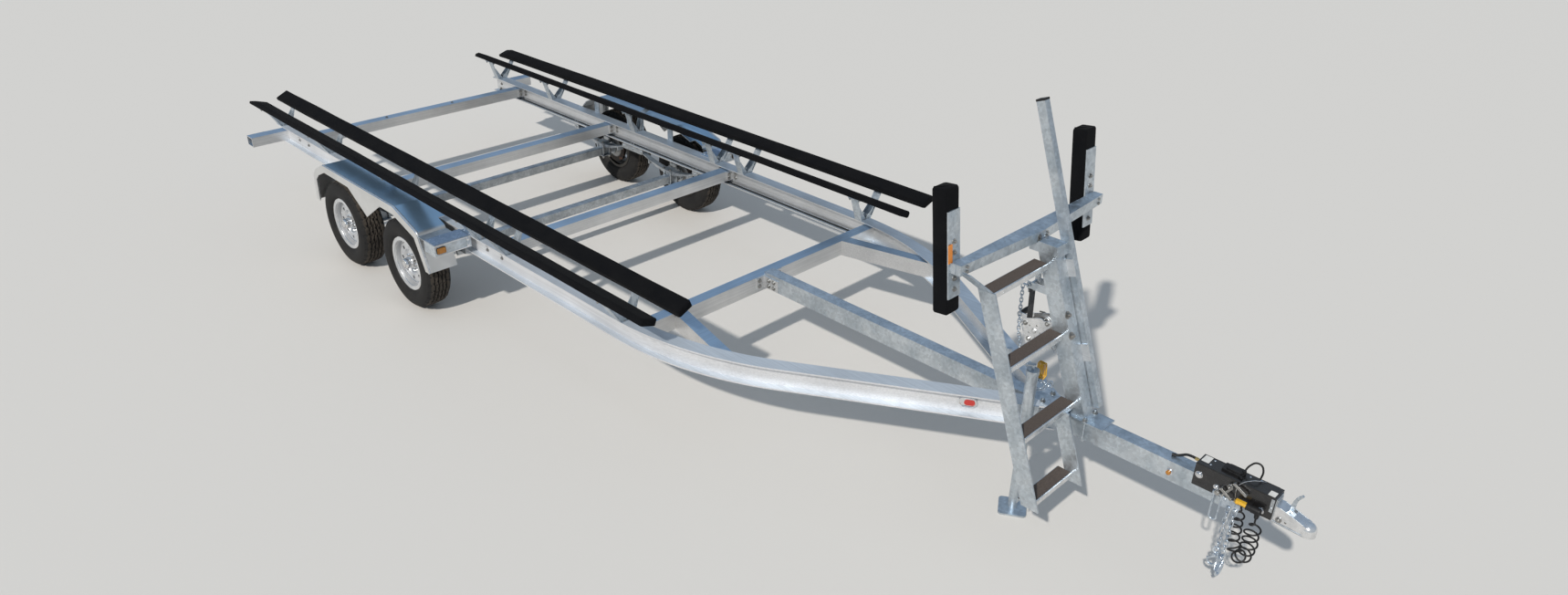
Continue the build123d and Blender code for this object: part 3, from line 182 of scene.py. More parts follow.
def metal(name, dark, light, rough, patch, spangle=0.0, streak=None, metallic=0.85, scratch=0.15, dirt=0.45,
          sky_reflection_tint=(0.78, 0.88, 1.0)):
    """Weathered metal: slow colour patches, an optional zinc spangle and fine streaks along one axis."""
    tree, space, shader = new_material(name)
    colour = ramp(tree, noise(tree, space, patch, 6), (0.32, dark), (0.68, light))
    if spangle:
        cells = add(tree, "ShaderNodeTexVoronoi", Vector=space, Scale=spangle)
        tone = add(tree, "ShaderNodeRGBToBW", Color=cells.outputs["Color"]).outputs["Val"]
        colour = mix(tree, 0.8, colour, grey(tree, tone, 0.78, 1.0, 0.2, 0.8), "MULTIPLY")
    if streak:
        lines = noise(tree, object_space(tree, streak), 1.0, 3, 0.6)
        colour = mix(tree, 0.5, colour, grey(tree, lines, 0.72, 1.0, 0.35, 0.65), "MULTIPLY")
        bump(tree, shader, lines, 0.12, 0.0005)
    grime = noise(tree, space, 55.0, 5, 0.65)
    colour = mix(tree, dirt, colour, grey(tree, grime, 0.72, 1.0, 0.34, 0.52), "MULTIPLY")
    finish = grey(tree, noise(tree, space, 22.0, 5), rough - scratch, rough + scratch)
    # Faces that look up get a painted blue sky reflection in their colour.
    feed(tree, shader, Base_Color=painted_sky_reflection(tree, colour, sky_reflection_tint), Roughness=finish, Metallic=metallic)


def plain(name, dark, light, rough, scale, depth=0.0003, coat=0.0, gloss=0.5):
    """Moulded plastic, paint or rubber: two near tones and a fine surface."""
    tree, space, shader = new_material(name)
    feed(tree, shader, Base_Color=ramp(tree, noise(tree, space, scale, 6), (0.3, dark), (0.7, light)),
         Roughness=grey(tree, noise(tree, space, scale * 2.3, 4), rough - 0.08, rough + 0.1),
         Coat_Weight=coat, Specular_IOR_Level=gloss)
    if depth:
        bump(tree, shader, noise(tree, space, scale * 12, 3), 0.4, depth)


def lens(name, colour):
    """Clear coated plastic with fine ribs."""
    tree, space, shader = new_material(name)
    ribs = add(tree, "ShaderNodeTexWave", Vector=space, Scale=120.0).outputs["Fac"]
    colour = ramp(tree, ribs, (0.3, tuple(c * 0.6 for c in colour)), (0.7, colour))
    feed(tree, shader, Base_Color=colour, Roughness=0.16, Coat_Weight=0.6)


def make_carpet():
    """Felted marine carpet: near black, with a fine nap and dusty tufts."""
    tree, space, shader = new_material("carpet")
    tufts = noise(tree, space, 420.0, 3, 0.7)
    dust = grey(tree, noise(tree, space, 9.0, 5), 0.0, 0.1)
    base = ramp(tree, tufts, (0.3, (0.0018, 0.002, 0.0028)), (0.75, (0.0065, 0.0072, 0.0092)))
    feed(tree, shader, Base_Color=mix(tree, dust, base, (0.03, 0.028, 0.025)), Roughness=0.95,
         Sheen_Weight=0.015, Sheen_Roughness=0.6, Specular_IOR_Level=0.06)
    bump(tree, shader, tufts, 0.9, 0.0016)


def make_grip_sheet():
    """Aluminium sheet with a coarse grip pressed into it, dull and blue-grey between its bright tops."""
    tree, space, shader = new_material("diamond")
    cells = add(tree, "ShaderNodeTexVoronoi", Vector=space, Scale=95.0).outputs["Distance"]
    tops = ramp(tree, cells, (0.12, (0.86, 0.87, 0.88)), (0.45, (0.56, 0.58, 0.61)))
    patches = ramp(tree, noise(tree, space, 16.0, 6, 0.7), (0.35, (0.74, 0.76, 0.79)), (0.65, (1, 1, 1)))
    # Faces that look up get a painted blue sky reflection in their colour.
    colour = painted_sky_reflection(tree, mix(tree, 0.9, tops, patches, "MULTIPLY"), (0.52, 0.72, 1.0))
    feed(tree, shader, Base_Color=colour, Metallic=0.8, Roughness=grey(tree, cells, 0.34, 0.62, 0.1, 0.5))
    bump(tree, shader, cells, 0.7, 0.0012)


def make_webbing():
    """Woven polyester webbing."""
    tree, space, shader = new_material("webbing")
    weave = add(tree, "ShaderNodeTexWave", Vector=space, Scale=220.0, Distortion=0.6, bands_direction="Z")
    weave = weave.outputs["Fac"]
    colour = ramp(tree, weave, (0.2, (0.01, 0.01, 0.012)), (0.8, (0.045, 0.045, 0.05)))
    feed(tree, shader, Base_Color=colour, Roughness=0.8, Sheen_Weight=0.2)
    bump(tree, shader, weave, 0.6, 0.0006)


def axle_distance(tree, place):
    """Distance from a wheel's axis, for finishes that go by radius."""
    value = add(tree, "ShaderNodeTexCoord").outputs["Object"]
    for operation, other in (("SUBTRACT", (AXLE_X[place], 0, WHEEL_Z)), ("MULTIPLY", (1, 0, 1))):
        node = add(tree, "ShaderNodeVectorMath", operation=operation, Vector=value)
        node.inputs[1].default_value = other
        value = node.outputs["Vector"]
    return add(tree, "ShaderNodeVectorMath", operation="LENGTH", Vector=value).outputs["Value"]


def make_rotor_finish(place):
    """Cast hub in bare zinc and a disc with a dark rim and patches of rust."""
    tree, space, shader = new_material("rotor_" + place)
    patches = noise(tree, space, 34.0, 6, 0.7)
    disc = ramp(tree, patches, (0.38, (0.016, 0.014, 0.013)), (0.56, (0.045, 0.035, 0.029)),
                (0.66, (0.24, 0.11, 0.055)))
    hub = ramp(tree, patches, (0.3, (0.3, 0.3, 0.3)), (0.7, (0.52, 0.52, 0.51)))
    share = share_of(tree, axle_distance(tree, place), 0.078, 0.09)
    feed(tree, shader, Base_Color=mix(tree, share, hub, disc), Roughness=grey(tree, patches, 0.38, 0.66),
         Metallic=0.6)
    bump(tree, shader, noise(tree, space, 160.0, 4), 0.35, 0.0006)


def make_tyre_finish(place):
    """Black rubber: clean sidewall, dusty brown tread."""
    tree, space, shader = new_material("rubber_" + place)
    wear = noise(tree, space, 14.0, 6, 0.65)
    side = ramp(tree, wear, (0.3, (0.01, 0.01, 0.011)), (0.7, (0.024, 0.023, 0.022)))
    dust = ramp(tree, wear, (0.3, (0.03, 0.026, 0.022)), (0.7, (0.085, 0.071, 0.058)))
    share = share_of(tree, axle_distance(tree, place), 0.3035, 0.3055)
    feed(tree, shader, Base_Color=mix(tree, share, side, dust), Roughness=grey(tree, wear, 0.62, 0.82),
         Specular_IOR_Level=0.22)
    bump(tree, shader, noise(tree, space, 300.0, 3), 0.3, 0.0003)


def make_rim_finish():
    """Silver rim, with painted shade, near black, on the side that faces the frame."""
    tree, space, shader = new_material("silver_paint")
    patches = noise(tree, space, 14.0, 6)
    silver = ramp(tree, patches, (0.32, (0.64, 0.65, 0.67)), (0.68, (0.74, 0.75, 0.76)))
    painted_inner_shade = ramp(tree, patches, (0.32, (0.03, 0.028, 0.026)), (0.68, (0.075, 0.07, 0.064)))
    spot = add(tree, "ShaderNodeTexCoord").outputs["Object"]
    out = add(tree, "ShaderNodeSeparateXYZ", Vector=spot).outputs["Y"]
    out = add(tree, "ShaderNodeMath", operation="ABSOLUTE", Value=out).outputs["Value"]
    # Inward of the rim's outer face the colour is painted shade.
    share = share_of(tree, out, 1.17, 1.19)
    feed(tree, shader, Base_Color=mix(tree, share, painted_inner_shade, silver), Roughness=grey(tree, patches, 0.3, 0.46),
         Metallic=0.7)


BRUSHED_X = {"streak": (2.0, 160.0, 160.0), "scratch": 0.04, "dirt": 0.0}
BRUSHED_Y = {"streak": (160.0, 2.0, 160.0), "scratch": 0.04, "dirt": 0.0}
# The tint given to each metal is the blue of a painted sky reflection on its faces that look up.
metal("aluminium_x", (0.68, 0.69, 0.7), (0.86, 0.865, 0.87), 0.45, 3.0, sky_reflection_tint=(0.74, 0.86, 1.0), **BRUSHED_X)
metal("aluminium_bend", (0.72, 0.725, 0.74), (0.86, 0.865, 0.88), 0.5, 3.0, metallic=0.55,
      sky_reflection_tint=(0.84, 0.92, 1.0), **BRUSHED_X)
metal("aluminium_y", (0.66, 0.665, 0.67), (0.84, 0.84, 0.84), 0.34, 3.0, sky_reflection_tint=(0.5, 0.72, 1.0), **BRUSHED_Y)
metal("galvanised", (0.48, 0.54, 0.59), (0.68, 0.73, 0.77), 0.42, 9.0, spangle=70.0, dirt=0.3)
metal("sheet", (0.66, 0.66, 0.65), (0.82, 0.82, 0.81), 0.33, 3.0, scratch=0.02, dirt=0.0,
      sky_reflection_tint=(0.42, 0.68, 1.0))
metal("galvanised_dull", (0.4, 0.43, 0.46), (0.62, 0.65, 0.67), 0.46, 12.0, spangle=90.0, dirt=0.4)
metal("hook_zinc", (0.36, 0.42, 0.49), (0.7, 0.76, 0.82), 0.26, 26.0, dirt=0.3)
metal("mill", (0.66, 0.67, 0.68), (0.84, 0.84, 0.84), 0.26, 14.0)
metal("zinc", (0.24, 0.235, 0.225), (0.46, 0.45, 0.43), 0.34, 20.0, dirt=0.3)
metal("chrome", (0.78, 0.78, 0.79), (0.88, 0.88, 0.88), 0.12, 20.0, metallic=1.0, scratch=0.06)
metal("brass", (0.55, 0.38, 0.12), (0.75, 0.56, 0.24), 0.3, 30.0)
plain("black_paint", (0.006, 0.006, 0.007), (0.015, 0.014, 0.014), 0.3, 40.0, 0.0001, coat=0.4)
plain("black_plastic", (0.006, 0.006, 0.007), (0.016, 0.016, 0.017), 0.5, 60.0, gloss=0.35)
plain("grit", (0.045, 0.034, 0.029), (0.115, 0.092, 0.08), 0.85, 320.0, 0.0012)
plain("yellow", (0.62, 0.34, 0.02), (0.8, 0.48, 0.04), 0.42, 50.0)
plain("white", (0.62, 0.62, 0.6), (0.74, 0.74, 0.72), 0.45, 50.0, 0)
plain("orange", (0.78, 0.24, 0.03), (0.86, 0.3, 0.04), 0.4, 40.0, 0)
lens("amber", (0.5, 0.2, 0.015))
lens("red", (0.6, 0.03, 0.02))
make_carpet()
make_grip_sheet()
make_webbing()
make_rim_finish()
for place in PLACES:
    make_rotor_finish(place)
    make_tyre_finish(place)

# Finishes of the CAD nodes by how their names begin; the first match counts and the rest is galvanised
NODE_FINISHES = {
    "rail_right": "aluminium_bend", "rail_left": "aluminium_x", "tongue_angles": "aluminium_x",
    "mast_links": "aluminium_x", "crossmembers": "aluminium_y", "front_crossmember": "aluminium_y",
    "frame_braces": "aluminium_y", "tail_stubs": "aluminium_y", "fender_supports": "galvanised",
    "fender_": "sheet", "tyre_front": "rubber_front", "tyre_rear": "rubber_rear", "rim_": "silver_paint",
    "rotor_front": "rotor_front", "rotor_rear": "rotor_rear", "axle_": "galvanised_dull",
    "leaf_springs": "galvanised_dull", "equalizers": "galvanised_dull", "spring_hangers": "galvanised_dull",
    "bunk_brackets": "galvanised", "bunk_": "carpet", "bow_pads": "carpet", "mast_cap": "black_plastic",
    "winch_frame": "mill", "winch_drum": "mill", "coupler_latch": "zinc", "coupler": "mill",
    "strap_": "webbing", "actuator_case": "black_paint", "marker_lamps_amber": "amber",
    "marker_lamps_red": "red", "brake_line": "black_plastic", "trailer_lead": "black_plastic",
    "lead_plug": "yellow"}
for name, obj in nodes.items():
    key = next((finish for start, finish in NODE_FINISHES.items() if name.startswith(start)), "galvanised")
    if not obj.data.materials:
        obj.data.materials.append(MATERIALS[key])
    for slot in obj.material_slots:
        slot.material = MATERIALS[key]


def paint(obj, key):
    obj.data.materials.clear()
    obj.data.materials.append(MATERIALS[key])


# Mesh helpers
def placed(origin, x_dir, z_dir):
    """Matrix of a local frame from its origin, x axis and z axis."""
    z = Vector(z_dir).normalized()
    x = (Vector(x_dir) - z * Vector(x_dir).dot(z)).normalized()
    turn = Matrix((x, z.cross(x), z)).transposed().to_4x4()
    return Matrix.Translation(Vector(origin)) @ turn


def circle(count):
    """Angles of even steps round a circle."""
    return [2 * math.pi * k / count for k in range(count)]


def join_rows(bm, rows, closed=False, caps=True):
    """Faces between rings, any of which may be one point; the end rings are joined, filled or left open."""
    for low, high in zip(rows, rows[1:] + ([rows[0]] if closed else [])):
        count = max(len(low), len(high))
        for k in range(count):
            n = (k + 1) % count
            corners = (low[k % len(low)], low[n % len(low)], high[n % len(high)], high[k % len(high)])
            bm.faces.new(tuple(dict.fromkeys(corners)))
    if caps and not closed:
        bm.faces.new(rows[0][::-1])
        bm.faces.new(rows[-1])


def put_box(bm, centre, size, x_dir=X, z_dir=Z):
    place = placed(centre, x_dir, z_dir) @ Matrix.Diagonal((*size, 1))
    bmesh.ops.create_cube(bm, size=1.0, matrix=place)


def put_rod(bm, start, end, radius, steps, end_radius=None):
    start, end = Vector(start), Vector(end)
    axis = end - start
    helper = Vector(Z) if abs(axis.normalized().z) < 0.9 else Vector(X)
    place = placed((start + end) / 2, axis.cross(helper), axis)
    bmesh.ops.create_cone(bm, cap_ends=True, segments=steps, radius1=radius,
                          radius2=radius if end_radius is None else end_radius, depth=axis.length,
                          matrix=place)


def put_bolt(bm, at, axis, radius=0.0085, stud=0.0):
    """Hexagon head on a washer, with a stud's end standing out of a nut where it has one."""
    at, axis = Vector(at), Vector(axis).normalized()
    put_rod(bm, at - axis * 0.0005, at + axis * radius * 0.22, radius * 1.55, 20)
    put_rod(bm, at + axis * radius * 0.22, at + axis * radius * 1.05, radius, 6)
    if stud:
        put_rod(bm, at + axis * radius, at + axis * (radius + stud), radius * 0.58, 12)
    else:
        put_rod(bm, at + axis * radius * 1.05, at + axis * radius * 1.2, radius * 0.8, 12, radius * 0.6)


def put_turned(bm, place, profile, steps):
    """Profile of radius and height, turned about the local z axis."""
    rows = []
    for radius, height in profile:
        rows.append([bm.verts.new(place @ Vector((radius * math.cos(a), radius * math.sin(a), height)))
                     for a in circle(steps if radius > 1e-6 else 1)])
    join_rows(bm, rows, caps=False)


def put_dome(bm, at, axis, radius, height, rings=5, steps=18):
    """Round head of a carriage bolt or a lens."""
    angles = [k / rings * math.pi / 2 for k in range(rings + 1)]
    put_turned(bm, placed(at, Vector(axis).orthogonal(), axis),
               [(radius * math.cos(a), height * math.sin(a)) for a in angles], steps)


def put_plate(bm, place, outline, thick):
    """Flat plate of an outline in the local xy plane, from z = 0 to its thickness."""
    join_rows(bm, [[bm.verts.new(place @ Vector((x, y, z))) for x, y in outline] for z in (0, thick)])


def put_sweep(bm, points, radius, steps, closed=False, flat=1.0):
    """Round or flattened tube along points, with its ends closed."""
    points = [Vector(p) for p in points]
    count = len(points)
    rows = []
    side = None
    for k, point in enumerate(points):
        before = points[(k - 1) % count] if closed or k else point
        after = points[(k + 1) % count] if closed or k < count - 1 else point
        along = (after - before).normalized()
        side = along.orthogonal() if side is None else side - along * side.dot(along)
        side.normalize()
        up = along.cross(side)
        size = radius[k] if isinstance(radius, list) else radius
        rows.append([bm.verts.new(point + size * (math.cos(a) * side + flat * math.sin(a) * up))
                     for a in circle(steps)])
    join_rows(bm, rows, closed)


def rounded_path(points, radius, steps=6):
    """Points of a polyline with its corners rounded by arcs."""
    points = [Vector(p) for p in points]
    out = [points[0]]
    for before, corner, after in zip(points, points[1:], points[2:]):
        inward, outward = (before - corner).normalized(), (after - corner).normalized()
        half = inward.angle(outward) / 2
        reach = min(radius / math.tan(half), 0.48 * (before - corner).length, 0.48 * (after - corner).length)
        start, end = corner + inward * reach, corner + outward * reach
        bend_radius = reach * math.tan(half)
        centre = corner + (inward + outward).normalized() * bend_radius / math.sin(half)
        for k in range(steps + 1):
            share = k / steps
            spoke = (start - centre).slerp(end - centre, share) * bend_radius
            out.append(centre + spoke if half < 1.55 else start.lerp(end, share))
    return out + [points[-1]]


def finish_piece(bm, name, key, body="chassis", bevel=0.0, angle=35, replaces=()):
    """Turn a mesh into a named piece with its finish, body and slot, and the CAD nodes it replaces."""
    bmesh.ops.recalc_face_normals(bm, faces=bm.faces)
    bm.normal_update()
    for face in bm.faces:
        face.smooth = True
    for edge in bm.edges:
        edge.smooth = len(edge.link_faces) == 2 and edge.calc_face_angle() < math.radians(angle)
    mesh = bpy.data.meshes.new(name)
    bm.to_mesh(mesh)
    bm.free()
    obj = bpy.data.objects.new(name, mesh)
    scene.collection.objects.link(obj)
    paint(obj, key)
    if bevel:
        modifier = obj.modifiers.new("edges", "BEVEL")
        modifier.width = bevel
        modifier.segments = 2
        modifier.limit_method = "ANGLE"
        modifier.angle_limit = math.radians(50)
        modifier.harden_normals = True
    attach(obj, body)
    if replaces:
        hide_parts(*replaces)
    return obj


def ring_points(centre, x_dir, y_dir, radius_x, radius_y, steps=24):
    x, y = Vector(x_dir) * radius_x, Vector(y_dir) * radius_y
    return [Vector(centre) + x * math.cos(a) + y * math.sin(a) for a in circle(steps)]


def super_outline(half_x, half_y, corner, per_corner=5):
    """Rounded rectangle as points, anticlockwise."""
    out = []
    for cx, cy, start in ((half_x - corner, half_y - corner, 0), (corner - half_x, half_y - corner, 1),
                          (corner - half_x, corner - half_y, 2), (half_x - corner, corner - half_y, 3)):
        for k in range(per_corner + 1):
            a = (start + k / per_corner) * math.pi / 2
            out.append((cx + corner * math.cos(a), cy + corner * math.sin(a)))
    return out


# Carpeted boards: wrapped over rounded edges, a lapped seam underneath and folded ends
BOARD_WIDTH = 0.1
BOARD_THICK = 0.042
CARPET_THICK = 0.0008
FOLD = 0.012
BUNK_FRONT_X = 1.056
# Per board: y and z of its rear end, y and z of its front end, tilt in degrees and x of its rear end
BUNKS = {"outer": (1.13, 0.786, 1.145, 0.804, 18, -3.941),
         "inner": (0.912, 0.787, 0.907, 0.792, -25, -3.98)}


def carpet_bar(bm, start, end, across, half_wide, half_thick, seed, taper=0.0, station=0.03):
    start, end, across = Vector(start), Vector(end), Vector(across)
    along = (end - start).normalized()
    across = (across - along * across.dot(along)).normalized()
    up = along.cross(across)
    if up.z < 0:
        up = -up
    rng = random.Random(seed)
    length = (end - start).length
    count = max(8, int(length / station))
    waves = [(rng.uniform(2.5, 9.0), rng.uniform(0, 6.28), rng.uniform(0.0004, 0.0009)) for _ in range(4)]
    section = super_outline(half_wide, half_thick, 0.01, 4)
    stations = [0, 0.003, 0.008, FOLD] + [FOLD + (length - 2 * FOLD) * k / count for k in range(1, count)]
    stations += [length - FOLD, length - 0.008, length - 0.003, length]
    rows = []
    for s in stations:
        end_gap = min(s, length - s)
        pull = 1.0 if end_gap >= FOLD else 1.0 - 0.1 * (1 - end_gap / FOLD) ** 2
        thin = 1.0 - 0.55 * max(0.0, 1 - s / taper) if taper else 1.0
        row = []
        for index, (x, y) in enumerate(section):
            swell = sum(size * math.sin(rate * s + phase + 1.3 * index) for rate, phase, size in waves)
            seam = -0.0022 if y < -0.9 * half_thick and abs(x) < 0.006 else 0.0
            level = y * thin - (1 - thin) * half_thick
            grow = 1.0 + (swell + rng.uniform(-0.0003, 0.0003)) / half_thick * 0.6
            row.append(bm.verts.new(start + along * s + across * x * pull * (1 + swell / half_wide)
                                    + up * (level * pull * grow - seam)))
        rows.append(row)
    join_rows(bm, rows)


def bunk_frame(kind, side):
    """Rear end, front end and width direction of a board."""
    rear_y, rear_z, front_y, front_z, tilt, rear_x = BUNKS[kind]
    tilt = math.radians(tilt)
    return (Vector((rear_x, side * rear_y, rear_z)), Vector((BUNK_FRONT_X, side * front_y, front_z)),
            Vector((0, side * math.cos(tilt), math.sin(tilt))))


def make_bunks():
    for kind in BUNKS:
        for name, side in SIDES.items():
            bm = bmesh.new()
            carpet_bar(bm, *bunk_frame(kind, side), BOARD_WIDTH / 2 + CARPET_THICK,
                       BOARD_THICK / 2 + CARPET_THICK, seed=len(kind) + side,
                       taper=0.1 if kind == "outer" else 0.03)
            board = "%s_%s" % (name, kind)
            finish_piece(bm, "carpet_" + board, "carpet", angle=60, replaces=("bunk_" + board,))


make_bunks()

# Bow pads: carpeted posts, closed at the top by a folded corner
PAD_FACE_X = 2.441
PAD_MIDDLE_Z = 1.429
PAD_Y = 0.56
PAD_DEPTH = 0.077
PAD_WIDTH = 0.096
PAD_BOTTOM = 1.205
PAD_TOP = 1.775


def make_bow_pads():
    bm = bmesh.new()
    for side in SIDES.values():
        middle = Vector((PAD_FACE_X, side * PAD_Y, PAD_MIDDLE_Z)) - PAD_OUT * (PAD_DEPTH / 2 + 0.0003)
        low, high = (middle + PAD_UP * (z - PAD_MIDDLE_Z) / math.cos(PAD_LEAN) for z in (PAD_BOTTOM, PAD_TOP))
        carpet_bar(bm, low, high, Y, PAD_WIDTH / 2, PAD_DEPTH / 2, seed=7 + side, station=0.02)
        crease = ((-0.03, -0.042), (0.0, -0.004), (0.03, 0.042))
        put_sweep(bm, [high + PAD_UP * 0.0005 + Vector((x, y, 0)) for x, y in crease], 0.0016, 6)
    finish_piece(bm, "bow_pad_carpet", "carpet", angle=60, replaces=("bow_pads",))


make_bow_pads()

# Tyres with ribs and sipes
TYRE_STEPS = 288
TREAD_STEPS = 9
SIDE_STEPS = 18
TREAD_HALF = 0.066
CROWN_RADIUS = 0.31
SHOULDER_RADIUS = 0.305
WIDEST = (0.092, 0.242)
BEAD = (0.0657, 0.185)
GROOVES = (-0.039, -0.013, 0.013, 0.039)
GROOVE_HALF = 0.0045
GROOVE_DEPTH = 0.0085
SIPE_DEPTH = 0.006
NOTCH_DEPTH = 0.0035
RIB_SWAY = 0.0012
SIDE_LIFT = {3: 0.0016, 9: -0.0008, 14: 0.0014, 15: 0.0022, 16: 0.0006}


def tread_profile():
    """Rows of axial place, radius and kind across the tread from one shoulder to the other."""
    rows = []
    edges = sorted([-TREAD_HALF, TREAD_HALF] + [g + e * GROOVE_HALF for g in GROOVES for e in (-1, 1)])

    def crown(a):
        return CROWN_RADIUS - (a / TREAD_HALF) ** 2 * (CROWN_RADIUS - SHOULDER_RADIUS)

    for left, right in zip(edges, edges[1:]):
        middle = (left + right) / 2
        if any(abs(middle - g) < GROOVE_HALF for g in GROOVES):
            rows += [(left + 0.0008, crown(left) - GROOVE_DEPTH, "floor"),
                     (right - 0.0008, crown(right) - GROOVE_DEPTH, "floor")]
        else:
            rows += [(left, crown(left), "rib"), (middle, crown(middle), "rib"), (right, crown(right), "rib")]
    return rows


def side_profile():
    """Sidewall from the shoulder over its widest point to the bead, with a step and a rim protector."""
    a, b, c = Vector((TREAD_HALF, SHOULDER_RADIUS)), Vector(WIDEST), Vector(BEAD)
    turns = ((a, b, c), (b, c, a), (c, a, b))
    d = 2 * sum(p.x * (q.y - r.y) for p, q, r in turns)
    ux = sum(p.length_squared * (q.y - r.y) for p, q, r in turns) / d
    uy = sum(p.length_squared * (r.x - q.x) for p, q, r in turns) / d
    radius = math.hypot(a.x - ux, a.y - uy)
    start, end = math.atan2(a.y - uy, a.x - ux), math.atan2(c.y - uy, c.x - ux)
    rows = []
    for k in range(1, SIDE_STEPS + 1):
        angle = start + (end - start) * k / SIDE_STEPS
        reach = radius + SIDE_LIFT.get(k, 0.0)
        rows.append((ux + reach * math.cos(angle), uy + reach * math.sin(angle), "side"))
    return rows + [(BEAD[0], 0.172, "side")]


def tread_drop(a, r, kind, k):
    """Depth of a sipe in a rib, or of a notch in the shoulder, at one step round the tyre."""
    on_step = k % TREAD_STEPS in (0, 1)
    if kind == "side":
        return NOTCH_DEPTH if on_step and abs(r - 0.298) < 0.009 else 0.0
    if kind == "rib" and abs(a) > 0.05:
        return SIPE_DEPTH if on_step and abs(a) > 0.058 else 0.0
    return SIPE_DEPTH if kind == "rib" and (k + int(abs(a) * 400)) % TREAD_STEPS in (0, 1) else 0.0


def make_tyre(place, name, side):
    centre = Vector((AXLE_X[place], side * WHEEL_Y, WHEEL_Z))
    sidewall = side_profile()
    bm = bmesh.new()
    rings = []
    for a, r, kind in [(-a, r, kind) for a, r, kind in sidewall[::-1]] + tread_profile() + sidewall:
        ring = []
        for k, angle in enumerate(circle(TYRE_STEPS)):
            radius = r - tread_drop(a, r, kind, k)
            sway = 0.0 if kind == "side" else RIB_SWAY if (k // TREAD_STEPS) % 2 else -RIB_SWAY
            ring.append(bm.verts.new(centre + Vector((radius * math.cos(angle), side * (a + sway),
                                                      radius * math.sin(angle)))))
        rings.append(ring)
    join_rows(bm, rings, closed=True)
    wheel = "%s_%s" % (place, name)
    finish_piece(bm, "tread_" + wheel, "rubber_" + place, "wheel_" + wheel, angle=30,
                 replaces=("tyre_" + wheel,))


# Wheels: chrome hub caps, lug nuts, valve stems and the rings rolled into the rims
LUG_CIRCLE = 0.05715
DISC_FACE = 0.018
CAP_BASE = 0.04
CAP_TOP = 0.0905
CAP_RADIUS = 0.0375
CAP_PROFILE = [(0.0, CAP_TOP + 0.001), (0.012, CAP_TOP + 0.001), (0.02, CAP_TOP - 0.0005),
               (CAP_RADIUS - 0.006, CAP_TOP - 0.004), (CAP_RADIUS, CAP_TOP - 0.013),
               (CAP_RADIUS, CAP_BASE + 0.016), (CAP_RADIUS + 0.002, CAP_BASE + 0.014),
               (CAP_RADIUS + 0.002, CAP_BASE + 0.01), (CAP_RADIUS - 0.001, CAP_BASE)]


def make_wheel_details(place, name, side):
    wheel = "%s_%s" % (place, name)
    out = Vector((0, side, 0))
    hub = placed((AXLE_X[place], side * WHEEL_Y, WHEEL_Z), X, out)
    bm = bmesh.new()
    put_turned(bm, hub, CAP_PROFILE, 40)
    for angle in circle(5):
        at = hub @ Vector((LUG_CIRCLE * math.cos(angle), LUG_CIRCLE * math.sin(angle), DISC_FACE))
        put_rod(bm, at - out * 0.006, at + out * 0.004, 0.0115, 20, 0.0095)
        put_rod(bm, at + out * 0.004, at + out * 0.02, 0.0095, 6)
        put_dome(bm, at + out * 0.02, out, 0.008, 0.004, 4, 14)
    finish_piece(bm, "hub_cap_" + wheel, "chrome", "wheel_" + wheel, bevel=0.0008)
    bm = bmesh.new()
    stem = hub @ Vector((0.118, 0.06, 0.034))
    put_sweep(bm, [stem, stem + out * 0.01, stem + out * 0.022 + Vector((-0.003, 0, -0.002)),
                   stem + out * 0.036 + Vector((-0.007, 0, -0.004))], [0.0055, 0.0045, 0.0036, 0.004], 12)
    finish_piece(bm, "valve_" + wheel, "black_plastic", "wheel_" + wheel)
    bm = bmesh.new()
    for radius, high, thick in ((0.1835, 0.0685, 0.003), (0.16, 0.06, 0.0022), (0.1435, 0.033, 0.0022)):
        ring = ring_points(hub @ Vector((0, 0, high)), X, Z, radius, radius, 72)
        put_sweep(bm, ring, thick, 8, closed=True)
    finish_piece(bm, "rim_rings_" + wheel, "chrome", "wheel_" + wheel)


for place in PLACES:
    for name, side in SIDES.items():
        make_tyre(place, name, side)
        make_wheel_details(place, name, side)

# Fenders: rolled edge and rivets
FENDER_OUTLINE = [(0.37, 0.377), (0.272, 0.628), (-0.011, 0.722), (-1.041, 0.716), (-1.165, 0.655),
                  (-1.225, 0.598), (-1.24, 0.401)]
FENDER_OUTER_Y = 1.295
FENDER_INNER_Y = 1.0445
NOTCH_X = (0.195, 0.375)
ROLL_RADIUS = 0.0115
TOP_RIVETS = (-0.98, -0.9, -0.58, -0.54, -0.06, -0.02)
SIDE_RIVETS = ((-0.3, 0.64), (-0.55, 0.64), (-1.12, 0.66), (0.2, 0.63))


def fender_path(y, inward):
    """Fender's edge in the plane of a y, moved inward by a distance."""
    points = [Vector((AXLE_X["front"] + x, y, z)) for x, z in FENDER_OUTLINE]
    moved = []
    for before, point, after in zip(points[:1] + points, points, points[1:] + points[-1:]):
        along = (after - before).normalized()
        moved.append(point + Vector((-along.z, 0, along.x)) * inward)
    return rounded_path(moved, 0.03, 8)


def make_fender_trim():
    x0 = AXLE_X["front"]
    for name, side in SIDES.items():
        bm = bmesh.new()
        roll = fender_path(side * (FENDER_OUTER_Y - ROLL_RADIUS), ROLL_RADIUS - 0.0025)
        put_sweep(bm, roll, ROLL_RADIUS, 16)
        inner = fender_path(side * (FENDER_INNER_Y + 0.0035), 0.001)
        put_sweep(bm, [p for p in inner if not NOTCH_X[0] < p.x - x0 < NOTCH_X[1]], 0.0035, 8)
        finish_piece(bm, "fender_roll_" + name, "mill", angle=60)
        bm = bmesh.new()
        for x in TOP_RIVETS:
            z = 0.7165 + (x + 1.041) * 0.0058
            put_dome(bm, (x0 + x, side * (FENDER_INNER_Y + 0.02), z + 0.0005), Z, 0.007, 0.004)
        for x, z in SIDE_RIVETS:
            put_dome(bm, (x0 + x, side * (FENDER_OUTER_Y - 0.001), z), (0, side, 0), 0.006, 0.0008)
        finish_piece(bm, "fender_rivets_" + name, "mill")


make_fender_trim()

# Step boxes: folded lips and the grip sheet on top
STEP_BOX_TOP = 0.608


